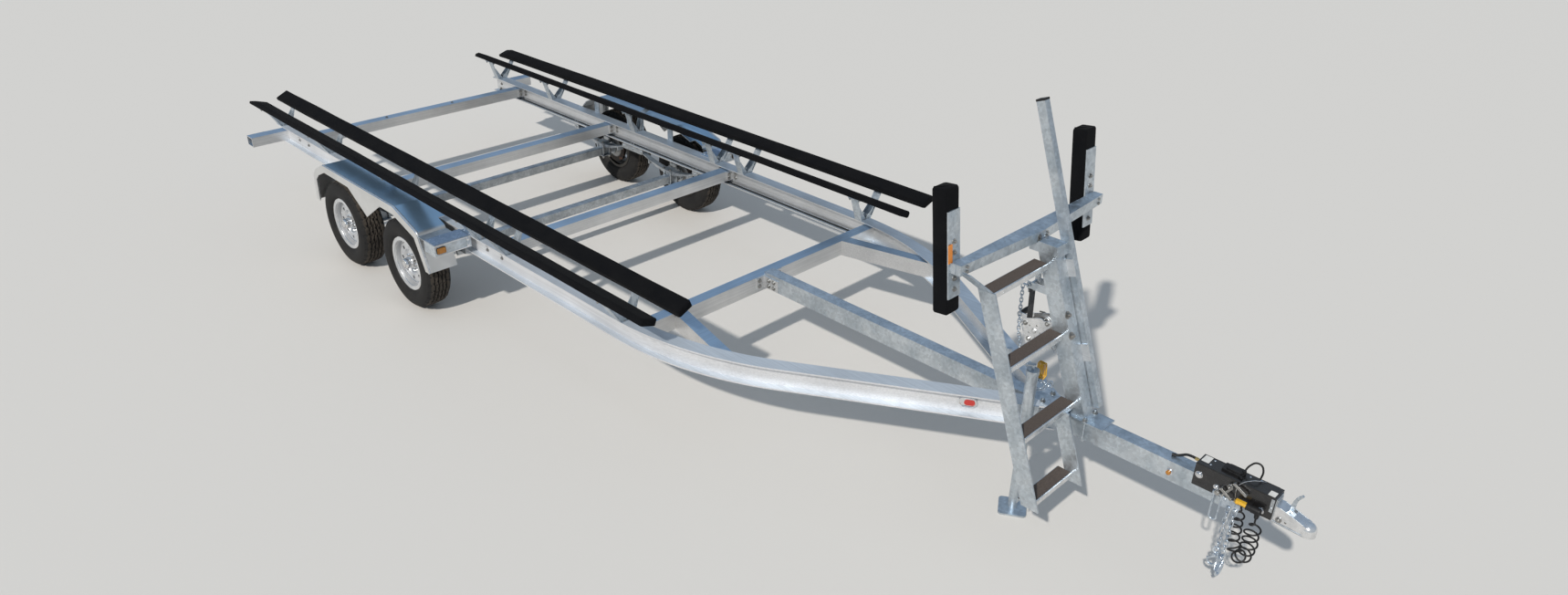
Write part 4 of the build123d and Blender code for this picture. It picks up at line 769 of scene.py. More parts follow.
def make_step_boxes():
    bm, grip = bmesh.new(), bmesh.new()
    middle_x = sum(STEP_BOX_X) / 2
    front = STEP_BOX_X[1]
    length = STEP_BOX_OUTER_Y - STEP_BOX_INNER_Y
    for side in SIDES.values():
        middle_y = side * (STEP_BOX_OUTER_Y + STEP_BOX_INNER_Y) / 2
        put_box(grip, (middle_x - 0.004, middle_y, STEP_BOX_TOP + 0.0008), (0.122, length - 0.01, 0.0016))
        for drop in (0.004, 0.072):
            put_box(bm, (front + 0.0012, middle_y, STEP_BOX_TOP - drop), (0.0024, length, 0.008))
        for z in (0.59, 0.55):
            put_bolt(bm, (front + 0.002, side * 1.06, z), X, 0.008)
        put_box(bm, (middle_x, side * 1.03, 0.6055), (0.1, 0.07, 0.005))
        for x in (-0.975, -0.915):
            put_bolt(bm, (x, side * 1.022, STEP_BOX_TOP), Z, 0.008)
    finish_piece(bm, "step_box_trim", "aluminium_y", bevel=0.0008)
    finish_piece(grip, "step_box_grip", "diamond", bevel=0.0006)


make_step_boxes()

# Bunk brackets: bolts at the rail and the board, and a gusset between foot and upright
KNEE_OFFSET = -0.398
BRACKET_OFFSETS = (-2.418, -1.555, KNEE_OFFSET, 0.562, 0.867, 2.008)
BRACKET_THICK = 0.006


def bracket_line(kind, side, x):
    """Foot, upper end and board direction of the upright at a station."""
    start, end, across = bunk_frame(kind, side)
    middle = start + (end - start) * (x - start.x) / (end.x - start.x)
    up = Vector((0, -across.z * side, across.y * side)).normalized()
    if up.z < 0:
        up = -up
    head = middle - up * (BOARD_THICK / 2 + 0.0003 + BRACKET_THICK / 2)
    out = 1 if kind == "outer" else -1
    foot = Vector((x, side * (RAIL_Y + out * (RAIL_HALF - BRACKET_THICK / 2)), RAIL_TOP))
    return foot, Vector((x, head.y, head.z)), up, across


def make_bracket(bolts, gussets, kind, side, offset):
    x = AXLE_X["front"] + offset
    foot, head, up, across = bracket_line(kind, side, x)
    out = side * (1 if kind == "outer" else -1)
    for step in (-0.018, 0.018):
        at = Vector((x + step, side * RAIL_Y + out * 0.02, RAIL_TOP))
        put_bolt(bolts, at + Vector((0, 0, BRACKET_THICK)), Z, stud=0.006)
        put_bolt(bolts, at - Vector((0, 0, 0.008)), (0, 0, -1))
    for way in (-1, 1):
        at = head - up * (BRACKET_THICK / 2) + across * 0.022 * way
        put_bolt(bolts, at + Vector((0.02 * way, 0, 0)), -up, 0.0075, stud=0.005)
    tall = head.z - foot.z
    lean = 0.0 if kind == "outer" and offset == KNEE_OFFSET else (head.y - foot.y) / tall
    reach = 0.62 * tall
    inner = foot.y - out * (BRACKET_THICK / 2)
    base_y = inner - out * 0.034
    base_z = RAIL_TOP + BRACKET_THICK
    outline = [(inner, base_z), (inner + lean * reach, RAIL_TOP + reach),
               (inner + lean * reach - out * 0.006, RAIL_TOP + reach),
               (base_y, base_z + 0.008), (base_y, base_z)]
    for edge in (-0.026, 0.022):
        put_plate(gussets, placed((x + edge, 0, 0), Y, X), outline, 0.004)


def make_bracket_details():
    bolts, gussets = bmesh.new(), bmesh.new()
    for side in SIDES.values():
        for offset in BRACKET_OFFSETS:
            for kind in BUNKS:
                make_bracket(bolts, gussets, kind, side, offset)
    finish_piece(bolts, "bracket_bolts", "zinc")
    finish_piece(gussets, "bracket_gussets", "galvanised", bevel=0.0006)


make_bracket_details()

# Frame joints: angle clips with bolts where the beams meet the rails, and the tongue's bolts
CROSS_FRONTS = (-3.412, -2.063, -0.632)
CROSS_WIDTH = 0.086
CROSS_TOP = 0.588
BEAM_FRONT_X = 0.759
WEB_INNER_Y = RAIL_Y - RAIL_WEB / 2
WEB_OUTER_Y = RAIL_Y + RAIL_WEB / 2
FLANGE_FACE_Z = 0.484


def make_beam_clip(clips, bolts, face_x, way, side):
    """Angle between a beam's face and the rail's web, with two rows of bolts."""
    middle_z = CROSS_TOP - 0.038
    put_box(clips, (face_x + way * 0.003, side * (WEB_INNER_Y - 0.031), middle_z), (0.006, 0.06, 0.06))
    put_box(clips, (face_x + way * 0.033, side * (WEB_INNER_Y - 0.003), middle_z), (0.06, 0.006, 0.06))
    for z in (CROSS_TOP - 0.022, CROSS_TOP - 0.054):
        put_bolt(bolts, (face_x + way * 0.006, side * (WEB_INNER_Y - 0.038), z), (way, 0, 0))
        put_bolt(bolts, (face_x + way * 0.04, side * (WEB_INNER_Y - 0.006), z), (0, -side, 0))
        put_bolt(bolts, (face_x + way * 0.04, side * WEB_OUTER_Y, z), (0, side, 0))


def make_frame_joints():
    clips, bolts = bmesh.new(), bmesh.new()
    for side in SIDES.values():
        for front in CROSS_FRONTS:
            make_beam_clip(clips, bolts, front, 1, side)
            make_beam_clip(clips, bolts, front - CROSS_WIDTH, -1, side)
        for z in (0.524, 0.56):
            for x in (BEAM_FRONT_X + 0.045, BEAM_FRONT_X + 0.085):
                put_bolt(bolts, (x, side * (TONGUE_HALF + 0.006), z), (0, side, 0), 0.009)
            put_bolt(bolts, (BEAM_FRONT_X + 0.006, side * (TONGUE_HALF + 0.045), z), X, 0.009)
        for x, z in ((-3.8, 0.5), (-3.78, 0.545)):
            put_bolt(bolts, (x, side * WEB_INNER_Y, z), (0, -side, 0))
        for x in (-1.035, -2.577, -1.806):
            for step in (-0.018, 0.018):
                for y in (WEB_INNER_Y - 0.022, WEB_OUTER_Y + 0.022):
                    put_bolt(bolts, (x + step, side * y, FLANGE_FACE_Z), Z, 0.008)
    for y in (-0.3, 0.3):
        put_bolt(bolts, (CROSS_FRONTS[0] - CROSS_WIDTH / 2, y, CROSS_TOP), Z, 0.008)
    finish_piece(clips, "frame_clips", "aluminium_y", bevel=0.0008)
    finish_piece(bolts, "frame_bolts", "zinc")


make_frame_joints()

# Running gear: nuts on the spring clamps, spring clips, brake hoses and caliper bolts
SPRING_Y = 0.994
SPRING_RADIUS = 0.909
CLIP_X = 0.235
ROD_X = 0.038
ROD_Y = 0.0305


def make_running_gear():
    nuts, hoses, clips = bmesh.new(), bmesh.new(), bmesh.new()
    for x in AXLE_X.values():
        for side in SIDES.values():
            y = side * SPRING_Y
            for dx in (-ROD_X, ROD_X):
                for dy in (-ROD_Y, ROD_Y):
                    for low, high, radius, steps in ((0.272, 0.2655, 0.0105, 16), (0.2655, 0.255, 0.0095, 6),
                                                     (0.389, 0.398, 0.0095, 6)):
                        put_rod(nuts, (x + dx, y + dy, low), (x + dx, y + dy, high), radius, steps)
            lift = CLIP_X ** 2 / (2 * SPRING_RADIUS)
            for step in (-CLIP_X, CLIP_X):
                put_box(clips, (x + step, y, 0.359 + lift), (0.016, 0.052, 0.034))
            back = Vector((x - 0.088, side * 1.088, 0.404))
            path = [back, back + Vector((-0.01, -side * 0.012, 0.04)),
                    back + Vector((0.006, -side * 0.04, 0.07)),
                    (x - 0.04, side * 1.036, 0.468), (x - 0.04, side * 1.000, 0.47)]
            put_sweep(hoses, rounded_path(path, 0.03), 0.0055, 10)
            put_rod(nuts, back - Vector((0, 0, 0.006)), back + Vector((0, 0, 0.006)), 0.009, 6)
            for z in (0.346, 0.39):
                put_bolt(nuts, (x - 0.1, side * 1.0905, z), (0, -side, 0), 0.007)
    finish_piece(nuts, "gear_nuts", "zinc")
    finish_piece(hoses, "brake_hoses", "black_plastic")
    finish_piece(clips, "spring_clips", "galvanised_dull", bevel=0.001)


make_running_gear()

# Lamps: bezels, lens ribs and their backs
LAMP_Z = 0.548
STEP_LAMP_Y = STEP_BOX_OUTER_Y - 0.042
STEP_LAMP_Z = 0.57
BEND = math.radians(31.5)
WEB_LAMP = (2.384, 0.2213)
TAIL_LAMP = (-3.852, (STEP_BOX_INNER_Y + 1.285) / 2 + 0.028, 0.522)


def make_step_lamp(backs, lenses, side):
    face = placed((STEP_BOX_X[1], side * STEP_LAMP_Y, STEP_LAMP_Z), Y, X)
    put_plate(backs, face, super_outline(0.031, 0.0205, 0.007), 0.006)
    for y in (-0.0225, 0.0225):
        put_box(backs, face @ Vector((y, 0.0, 0.0148)), (0.0012, 0.0006, 0.03))
    for k in range(-3, 4):
        put_box(lenses, face @ Vector((k * 0.0068, 0, 0.0143)), (0.0012, 0.003, 0.028))


def make_tongue_lamp(bezels, lenses, side):
    at = Vector((3.351, side * TONGUE_HALF, LAMP_Z))
    put_turned(bezels, placed(at, X, (0, side, 0)),
               [(0.015, 0.0), (0.015, 0.003), (0.0125, 0.005), (0.0112, 0.005)], 28)
    put_dome(lenses, at + Vector((0, side * 0.0138, 0)), (0, side, 0), 0.011, 0.0045, 5, 24)


def make_web_lamp(backs, bezels, reds, side):
    """Marker lamp on the rail's bent web, and the bright plug beside it."""
    normal = Vector((math.sin(BEND), side * math.cos(BEND), 0))
    along = Vector((math.cos(BEND), -side * math.sin(BEND), 0))
    web = Vector((WEB_LAMP[0], side * WEB_LAMP[1], LAMP_Z)) + normal * (RAIL_WEB / 2)
    place = placed(web, along, normal)
    loop = [place @ Vector((x, y, 0.0125)) for x, y in super_outline(0.0425, 0.0235, 0.0225, 10)]
    put_sweep(bezels, loop, 0.0046, 10, closed=True)
    put_plate(bezels, place, super_outline(0.045, 0.026, 0.025, 10), 0.0146)
    put_plate(reds, place @ Matrix.Translation((0.0085, 0, 0.0146)), super_outline(0.027, 0.015, 0.0145, 8),
              0.0032)
    plug = web + along * 0.302 + Vector((0, 0, 0.025))
    put_turned(backs, placed(plug, along, normal), [(0.0255, 0.0), (0.0255, 0.005), (0.018, 0.008)], 28)
    put_dome(bezels, plug + normal * 0.006, normal, 0.0175, 0.012, 6, 24)


def make_tail_lamp(backs, reds, side):
    x, y, z = TAIL_LAMP
    tail = placed((x, side * y, z), Y, (-1, 0, 0))
    loop = [tail @ Vector((x, y, 0.01)) for x, y in super_outline(0.0775, 0.0305, 0.03, 10)]
    put_sweep(backs, loop, 0.0046, 10, closed=True)
    put_plate(backs, tail, super_outline(0.079, 0.032, 0.031, 10), 0.008)
    for k in range(-2, 3):
        put_sweep(reds, [tail @ Vector((k * 0.024 - 0.004, y, 0.0145)) for y in (-0.018, 0.018)], 0.0012, 6)


def make_lamps():
    backs, bezels, lenses, reds = (bmesh.new() for _ in range(4))
    for side in SIDES.values():
        make_step_lamp(backs, lenses, side)
        make_tongue_lamp(bezels, lenses, side)
        make_web_lamp(backs, bezels, reds, side)
        make_tail_lamp(backs, reds, side)
    finish_piece(backs, "lamp_backs", "black_plastic", bevel=0.0006)
    finish_piece(bezels, "lamp_bezels", "chrome")
    finish_piece(lenses, "lamp_ribs_amber", "amber")
    finish_piece(reds, "lamp_ribs_red", "red", angle=50)


make_lamps()

# Ladder treads: grip tape, folded lips and gussets. Each row is a tread's front, level and near end
TREADS = [(2.606, 1.317, 0.038), (2.735, 0.999, 0.038), (2.851, 0.677, 0.038), (2.933, 0.35, 0.112)]
TREAD_DEPTH = 0.077
TREAD_LIP = 0.026
LADDER_Y = 0.462


def make_ladder_details():
    grips, lips, gussets = bmesh.new(), bmesh.new(), bmesh.new()
    for front, level, near in TREADS:
        x, y = front - TREAD_DEPTH / 2, -(near + LADDER_Y) / 2
        length = LADDER_Y - near
        put_box(grips, (x - 0.002, y, level + 0.0009), (TREAD_DEPTH - 0.01, length - 0.004, 0.0018))
        fold = [(front - 0.002, end, level - 0.0005) for end in (-near - 0.001, 0.001 - LADDER_Y)]
        put_sweep(lips, fold, 0.0034, 10)
        put_box(lips, (front + 0.001, y, level - TREAD_LIP / 2), (0.002, length, TREAD_LIP))
        if near < 0.1:
            under = TREAD_LIP - level
            outline = [(near + 0.0005, under), (near + 0.075, under), (near + 0.0005, 0.085 + under)]
            put_plate(gussets, placed((x + 0.008, 0, 0), (0, -1, 0), X), outline, 0.005)
    finish_piece(grips, "tread_grit", "grit")
    finish_piece(lips, "tread_lips", "mill", bevel=0.0006)
    finish_piece(gussets, "tread_gussets", "mill", bevel=0.0006)


make_ladder_details()

# Winch post: bolts, U-bolts round the tongue, pad plates and the post's cap
POST_FRONT_X = 2.916
POST_DEPTH = 0.085
U_BOLT_Y = 0.0455
CAP_HALF = 0.0445
CAP_OUTLINE = [(2.492, 1.4035), (2.5398, 1.4035), (2.5398, 1.412), (2.64, 1.412), (2.656, 1.364),
               (2.5, 1.36)]


def post_front(z):
    return POST_FRONT_X - (z - RAIL_TOP) * math.tan(LEAN)


def make_post_details():
    plates, bolts = bmesh.new(), bmesh.new()
    for z in (1.000, 1.096):
        put_bolt(bolts, (post_front(z), -0.026, z), ACROSS_LEAN, 0.0125, stud=0.007)
    for x in (2.69, 2.92):
        loop = [(x, -U_BOLT_Y, 0.632), (x, -U_BOLT_Y, 0.494), (x, U_BOLT_Y, 0.494), (x, U_BOLT_Y, 0.632)]
        put_sweep(plates, rounded_path(loop, 0.014), 0.006, 12)
        for y in (-U_BOLT_Y, U_BOLT_Y):
            put_rod(bolts, (x, y, 0.611), (x, y, 0.6135), 0.0145, 20)
            put_rod(bolts, (x, y, 0.6135), (x, y, 0.6235), 0.0105, 6)
    for z in (0.9, 1.29):
        middle = Vector((post_front(z) - POST_DEPTH / 2 / math.cos(LEAN), 0.084, z))
        for shift in (-0.018, 0.018):
            put_bolt(bolts, middle + UP_LEAN * shift, Y, 0.009)
    for y in (-0.03, 0.03):
        for z in (1.415, 1.43):
            put_bolt(bolts, (2.536, y, z), X)
    for side in SIDES.values():
        plate = Vector((PAD_FACE_X + 0.006, side * PAD_Y, PAD_MIDDLE_Z))
        for shift in (-0.11, -0.06, 0.06, 0.11):
            put_bolt(bolts, plate + PAD_UP * shift, PAD_OUT, stud=0.004)
        for z in (1.418, 1.44):
            put_bolt(bolts, (2.503, side * 0.548, z), X)
        put_box(plates, (2.457, side * 0.5915, PAD_MIDDLE_Z), (0.04, 0.003, 0.046))
    put_plate(plates, placed((0, CAP_HALF, 0), X, (0, -1, 0)), CAP_OUTLINE, 2 * CAP_HALF)
    finish_piece(plates, "post_straps", "galvanised", bevel=0.0006)
    finish_piece(bolts, "post_bolts", "zinc")


make_post_details()

# Winch: gears, pawl, handle and hook; the strap's wound turns and its webbing
WINCH = Vector((2.583, 0, 0.955))
WINCH_HALF = 0.033
GRIP_X = -0.14
STRAP_HALF = 0.025
COIL_RADIUS = 0.05
COIL_TURNS = 8
COIL_STEPS = 40
DRUM_RADIUS = 0.018
STRAP_HEAD = Vector((2.5225, 0, 1.165))
STRAP_STEPS = 26
GRIP_PROFILE = [(0.0128, 0.0), (0.015, 0.004), (0.0142, 0.014), (0.015, 0.045), (0.014, 0.075),
                (0.0128, 0.086)]


def winch_at(x, y, z):
    return WINCH + Vector((x, y, z))


def make_winch():
    still, turning, grip = bmesh.new(), bmesh.new(), bmesh.new()
    for edge in (-1, 1):
        y = edge * (WINCH_HALF + 0.005)
        for dx, dz in ((0.08, 0.036), (0.08, -0.036), (-0.04, 0.04), (-0.04, -0.04)):
            at = WINCH + ACROSS_LEAN * dx + UP_LEAN * dz
            put_bolt(still, (at.x, y, at.z), (0, edge, 0), 0.008)
        for dz in (-0.035, 0.035):
            at = WINCH + ACROSS_LEAN * 0.03 + UP_LEAN * dz
            put_rod(still, (at.x, -WINCH_HALF, at.z), (at.x, WINCH_HALF, at.z), 0.006, 14)
    pawl = [winch_at(0.03, 0.041, 0.045), winch_at(0, 0.046, 0.066), winch_at(-0.03, 0.046, 0.062)]
    put_sweep(still, rounded_path(pawl, 0.01), 0.004, 10)
    for low, high, radius, steps in ((0.0015, 0.0042, 0.05, 40), (0.0042, 0.01, 0.012, 6)):
        put_rod(turning, winch_at(0, -WINCH_HALF - low, 0), winch_at(0, -WINCH_HALF - high, 0), radius, steps)
    for angle in circle(5):
        at = winch_at(0.033 * math.cos(angle), -WINCH_HALF - 0.004, 0.033 * math.sin(angle))
        put_dome(turning, at, (0, -1, 0), 0.005, 0.0025)
    put_rod(turning, winch_at(GRIP_X, 0.053, 0), winch_at(GRIP_X, 0.06, 0), 0.0145, 22)
    put_rod(turning, winch_at(GRIP_X, 0.148, 0), winch_at(GRIP_X, 0.1535, 0), 0.0135, 22, 0.011)
    put_bolt(turning, winch_at(0, 0.058, 0), Y, 0.01)
    put_turned(grip, placed(winch_at(GRIP_X, 0.06, 0), X, Y), GRIP_PROFILE, 28)
    finish_piece(still, "winch_hardware", "zinc")
    finish_piece(turning, "winch_gear", "zinc", body="winch_spool")
    finish_piece(grip, "winch_grip", "black_plastic", body="winch_spool")


def make_strap():
    coil = bmesh.new()
    inner, outer = DRUM_RADIUS + 0.001, COIL_RADIUS - 0.001
    rows = []
    for share in (k / (COIL_TURNS * COIL_STEPS) for k in range(COIL_TURNS * COIL_STEPS + 1)):
        angle = 2 * math.pi * COIL_TURNS * share + math.pi
        sway = 0.0012 * math.sin(3.1 * angle + 0.7)
        row = []
        for out, edge in ((-1, -1), (-1, 1), (1, 1), (1, -1)):
            radius = inner + (outer - inner) * share + 0.0012 * out
            row.append(coil.verts.new(winch_at(radius * math.cos(angle), edge * (STRAP_HALF - 0.001) + sway,
                                               radius * math.sin(angle))))
        rows.append(row)
    join_rows(coil, rows)
    finish_piece(coil, "strap_turns", "webbing", body="winch_spool", angle=50, replaces=("strap_coil",))
    strap = bmesh.new()
    foot = winch_at(-COIL_RADIUS - 0.0023, 0, 0)
    normal = (STRAP_HEAD - foot).normalized().cross(Vector(Y)).normalized()
    section = [(j / 3 - 1, -1) for j in range(7)]
    section += [(across, 1) for across, _ in section[::-1]]
    rows = []
    for share in (k / STRAP_STEPS for k in range(STRAP_STEPS + 1)):
        cup = 0.0012 * math.sin(math.pi * share)
        rows.append([strap.verts.new(foot.lerp(STRAP_HEAD, share) + Vector((0, across * STRAP_HALF, 0))
                                     + normal * (cup * (1 - across ** 2) + sign * 0.0011))
                     for across, sign in section])
    join_rows(strap, rows)
    finish_piece(strap, "strap_webbing", "webbing", angle=50, replaces=("strap_run",))
    hook = bmesh.new()
    ring = ring_points(STRAP_HEAD - Vector((0, 0, 0.004)), Y, (0.32, 0, -0.95), 0.024, 0.01)
    put_sweep(hook, ring, 0.0035, 10, True)
    bend = ((-0.016, -0.044), (-0.022, -0.016), (-0.006, 0.006), (0.012, -0.006), (0.006, -0.026))
    put_sweep(hook, rounded_path([STRAP_HEAD + Vector((x, 0, z)) for x, z in bend], 0.016, 8), 0.0048, 12)
    finish_piece(hook, "strap_hook", "white")


make_winch()
make_strap()

# Bow chain: length, width and wire of its links, and its two runs
BOW_LINK = (0.03, 0.02, 0.0055)
BOW_RUN = [(2.496, -0.047, 1.176), (2.501, -0.05, 1.06), (2.508, -0.05, 0.93), (2.535, -0.052, 0.83),
           (2.59, -0.052, 0.752), (2.648, -0.046, 0.716), (2.705, -0.041, 0.706)]
LOOSE_RUN = [(2.615, -0.06, 0.742), (2.628, -0.068, 0.69), (2.66, -0.066, 0.668), (2.69, -0.056, 0.69),
             (2.7, -0.05, 0.716)]
EYE_X = 2.5225
EYE_Z = 1.178


def put_link(bm, middle, along, across, length, width, wire, steps, sides):
    """One oval link of round wire."""
    straight, radius = (length - width) / 2, (width - wire) / 2
    ring = []
    for end, start in ((1, -math.pi / 2), (-1, math.pi / 2)):
        for a in (start + math.pi * j / steps for j in range(steps + 1)):
            reach = end * straight + radius * math.cos(a)
            ring.append(middle + along * reach + across * radius * math.sin(a))
    put_sweep(bm, ring, wire / 2, sides, closed=True)


def put_chain(bm, points):
    """Links along a path, each turned a quarter from the last."""
    pitch = BOW_LINK[0] - 2.1 * BOW_LINK[2]
    spans = [(b - a).length for a, b in zip(points, points[1:])]
    side = None
    for k in range(int(sum(spans) / pitch)):
        reach = (k + 0.5) * pitch
        index = 0
        while index < len(spans) - 1 and reach > spans[index]:
            reach -= spans[index]
            index += 1
        along = (points[index + 1] - points[index]).normalized()
        side = along.orthogonal() if side is None else side - along * side.dot(along)
        side.normalize()
        across = along.cross(side) if k % 2 else side
        put_link(bm, points[index] + along * reach, along, across, *BOW_LINK, 6, 8)


def make_bow_chain():
    """Eye arm behind the post, the chain that hangs from it to the post's foot, and the rope hank there."""
    arm, chain, rope = bmesh.new(), bmesh.new(), bmesh.new()
    for y in (-0.034, 0.034):
        put_box(arm, (2.565, y, EYE_Z), (0.11, 0.005, 0.034))
    for low, high, radius, steps in ((-0.044, 0.044, 0.007, 16), (-0.044, -0.0365, 0.012, 6),
                                     (0.0365, 0.044, 0.012, 6)):
        put_rod(arm, (EYE_X, low, EYE_Z), (EYE_X, high, EYE_Z), radius, steps)
    finish_piece(arm, "strap_eye_arm", "galvanised", bevel=0.0005)
    put_chain(chain, rounded_path(BOW_RUN, 0.05, 5))
    put_chain(chain, rounded_path(LOOSE_RUN, 0.03, 5))
    ring = ring_points((2.712, -0.0415, 0.716), X, Z, 0.016, 0.016)
    put_sweep(chain, ring, 0.0042, 10, True)
    put_rod(chain, (2.718, -0.038, 0.728), (2.718, -0.045, 0.728), 0.01, 6)
    put_rod(chain, (2.496, -0.044, EYE_Z), (EYE_X, -0.044, EYE_Z), 0.005, 12)
    finish_piece(chain, "bow_chain", "hook_zinc", angle=60)
    for k in range(4):
        x = 2.632 + 0.0085 * k
        loop = [(x, -0.04, 0.724), (x - 0.002, -0.034 - 0.002 * k, 0.8), (x + 0.006, -0.016, 0.806),
                (x + 0.01, -0.01, 0.73), (x + 0.004, -0.026, 0.712)]
        put_sweep(rope, rounded_path(loop, 0.012, 5), 0.0034, 8, True)
    finish_piece(rope, "rope_hank", "yellow", angle=60)


def make_label():
    """Blank orange label on the right bow pad's plate."""
    bm = bmesh.new()
    at = Vector((2.45, -0.592, PAD_MIDDLE_Z)) + PAD_UP * 0.062 + PAD_OUT * 0.0006
    put_box(bm, at, (0.0012, 0.03, 0.085), PAD_OUT, PAD_UP)
    finish_piece(bm, "pad_label", "orange")


make_bow_chain()
make_label()

# Hitch: what sits on and beside the black case
CASE_X = (3.457, 3.807)
CASE_HALF = 0.043
CASE_TOP = 0.66
ARCH = [(3.636, 0.03, 0.664), (3.642, 0.046, 0.69), (3.664, 0.056, 0.72), (3.694, 0.058, 0.718),
        (3.706, 0.054, 0.688), (3.7, 0.0475, 0.642), (3.694, 0.047, 0.62)]
HOSE = [(3.444, 0.016, 0.636), (3.418, 0.018, 0.637), (3.39, 0.02, 0.634), (3.362, 0.016, 0.616),
        (3.346, 0.01, 0.611)]
WIRE_START = (3.65, -0.048, 0.585)
WIRE_OVER = [WIRE_START, (3.646, -0.049, 0.62), (3.652, -0.05, 0.652), (3.668, -0.036, 0.668),
             (3.694, -0.006, 0.672), (3.722, 0.026, 0.666), (3.73, 0.036, 0.6615)]
WIRE_DOWN = [WIRE_START, (3.653, -0.072, 0.53), (3.648, -0.078, 0.47), (3.64, -0.074, 0.4),
             (3.634, -0.072, 0.36)]


def make_case_top():
    """Blank labels, the reservoir's cover and the edges of the case."""
    plates, black = bmesh.new(), bmesh.new()
    for x, y, length, width in ((3.4815, 0.013, 0.034, 0.052), (3.7835, -0.02, 0.03, 0.038)):
        place = placed((x, y, CASE_TOP), X, Z)
        put_plate(plates, place, super_outline(length / 2, width / 2, 0.003, 3), 0.0008)
    finish_piece(plates, "case_labels", "white", bevel=0.0002)
    for y in (-CASE_HALF * 0.985, CASE_HALF * 0.985):
        put_rod(black, (CASE_X[0], y, CASE_TOP - 0.001), (CASE_X[1] - 0.018, y, CASE_TOP - 0.001), 0.0022, 12)
    cover = placed((3.6, 0.014, CASE_TOP), X, Z)
    put_plate(black, cover, super_outline(0.045, 0.027, 0.006), 0.01)
    raised = cover @ Matrix.Translation((0.006, 0, 0.01))
    put_plate(black, raised, super_outline(0.034, 0.021, 0.008), 0.007)
    put_rod(black, (3.628, -0.006, CASE_TOP + 0.008), (3.65, -0.022, CASE_TOP + 0.004), 0.0055, 12)
    put_rod(black, (3.64, 0.02, CASE_TOP + 0.002), (3.64, 0.02, CASE_TOP + 0.022), 0.01, 20, 0.008)
    finish_piece(black, "case_cover", "black_plastic", bevel=0.0012)


def make_case_pipes():
    pipes, brass = bmesh.new(), bmesh.new()
    put_sweep(pipes, rounded_path(ARCH, 0.05), 0.0042, 12)
    put_sweep(pipes, rounded_path(HOSE, 0.05), 0.0062, 12)
    put_rod(pipes, (3.346, 0.01, 0.6115), (3.33, 0.004, 0.6115), 0.0085, 14, 0.0075)
    finish_piece(pipes, "case_pipes", "black_plastic")
    x = CASE_X[0]
    put_rod(brass, (x, 0.016, 0.636), (x - 0.007, 0.016, 0.636), 0.0095, 6)
    put_rod(brass, (x - 0.007, 0.016, 0.636), (x - 0.016, 0.016, 0.636), 0.0072, 16)
    put_rod(brass, (x - 0.016, 0.016, 0.636), (x - 0.026, 0.0165, 0.6364), 0.009, 6)
    finish_piece(brass, "case_fitting", "brass", bevel=0.0004)


def make_case_bolts():
    """Bolt heads and round caps of the case, and the thin safety wire over it."""
    bm, wire = bmesh.new(), bmesh.new()
    for x, y in ((3.5115, 0.026), (3.5095, -0.014), (3.668, 0.026), (3.712, 0.034)):
        put_dome(bm, (x, y, CASE_TOP), Z, 0.0052, 0.003)
    for x, z, radius in ((3.481, 0.607, 0.0155), (3.564, 0.585, 0.012), (3.758, 0.571, 0.015)):
        for side in (-1, 1):
            put_rod(bm, (x, side * CASE_HALF, z), (x, side * (CASE_HALF + 0.0022), z), radius * 1.12, 28)
            put_dome(bm, (x, side * (CASE_HALF + 0.002), z), (0, side, 0), radius, radius * 0.62, 7, 28)
    finish_piece(bm, "case_bolts", "chrome")
    put_sweep(wire, rounded_path(WIRE_OVER, 0.05), 0.0014, 8)
    put_sweep(wire, rounded_path(WIRE_DOWN, 0.08), 0.0016, 8)
    finish_piece(wire, "safety_wire", "chrome")


def make_slide():
    """Steel nose of the slide in front of the case, with its bright guide strips."""
    bm = bmesh.new()
    x = CASE_X[1]
    for side in (-1, 1):
        put_box(bm, (x - 0.01, side * 0.0405 * 1.085, 0.618), (0.014, 0.004, 0.066))
        put_dome(bm, (x - 0.01, side * 0.0405 * 1.135, 0.606), (0, side, 0), 0.0065, 0.004)
    front = [(-0.04, 0.56), (0.04, 0.56), (0.04, 0.636), (0.034, 0.652), (-0.034, 0.652), (-0.04, 0.636)]
    raised = [(y * 0.82, 0.606 + (z - 0.606) * 0.82) for y, z in front]
    put_plate(bm, placed((x, 0, 0), Y, X), front, 0.0035)
    put_plate(bm, placed((x + 0.0035, 0, 0), Y, X), raised, 0.003)
    finish_piece(bm, "slide_nose", "galvanised_dull", bevel=0.001)


def make_case_arms():
    """Zinc lock-out clevis and T handles on the case's right side."""
    bm = bmesh.new()
    y = -CASE_HALF - 0.003
    for start, end, wide in (((3.636, y - 0.01, 0.648), (3.694, y - 0.018, 0.622), 0.013),
                             ((3.588, y - 0.014, 0.6), (3.64, y - 0.02, 0.572), 0.012),
                             ((3.6, y - 0.01, 0.57), (3.632, y - 0.012, 0.626), 0.011)):
        start, end = Vector(start), Vector(end)
        along = end - start
        put_box(bm, (start + end) / 2, (along.length, 0.0045, wide), along, along.cross(Vector(Y)))
        put_rod(bm, start - Vector((0, 0.006, 0)), start + Vector((0, 0.016, 0)), 0.0055, 14)
        put_rod(bm, end - Vector((0, 0.004, 0)), end + Vector((0, 0.012, 0)), 0.0048, 14)
    put_rod(bm, (3.578, y + 0.003, 0.574), (3.578, y - 0.02, 0.574), 0.0125, 24)
    put_rod(bm, (3.578, y - 0.02, 0.574), (3.578, y - 0.026, 0.574), 0.009, 6)
    for step in range(4):
        ring = ring_points((3.6215, y - 0.004 - step * 0.0035, 0.627), X, Z, 0.009, 0.009, 18)
        put_sweep(bm, ring, 0.0016, 8, True)
    finish_piece(bm, "case_arms", "zinc", bevel=0.0008)


make_case_top()
make_case_pipes()
make_case_bolts()
make_slide()

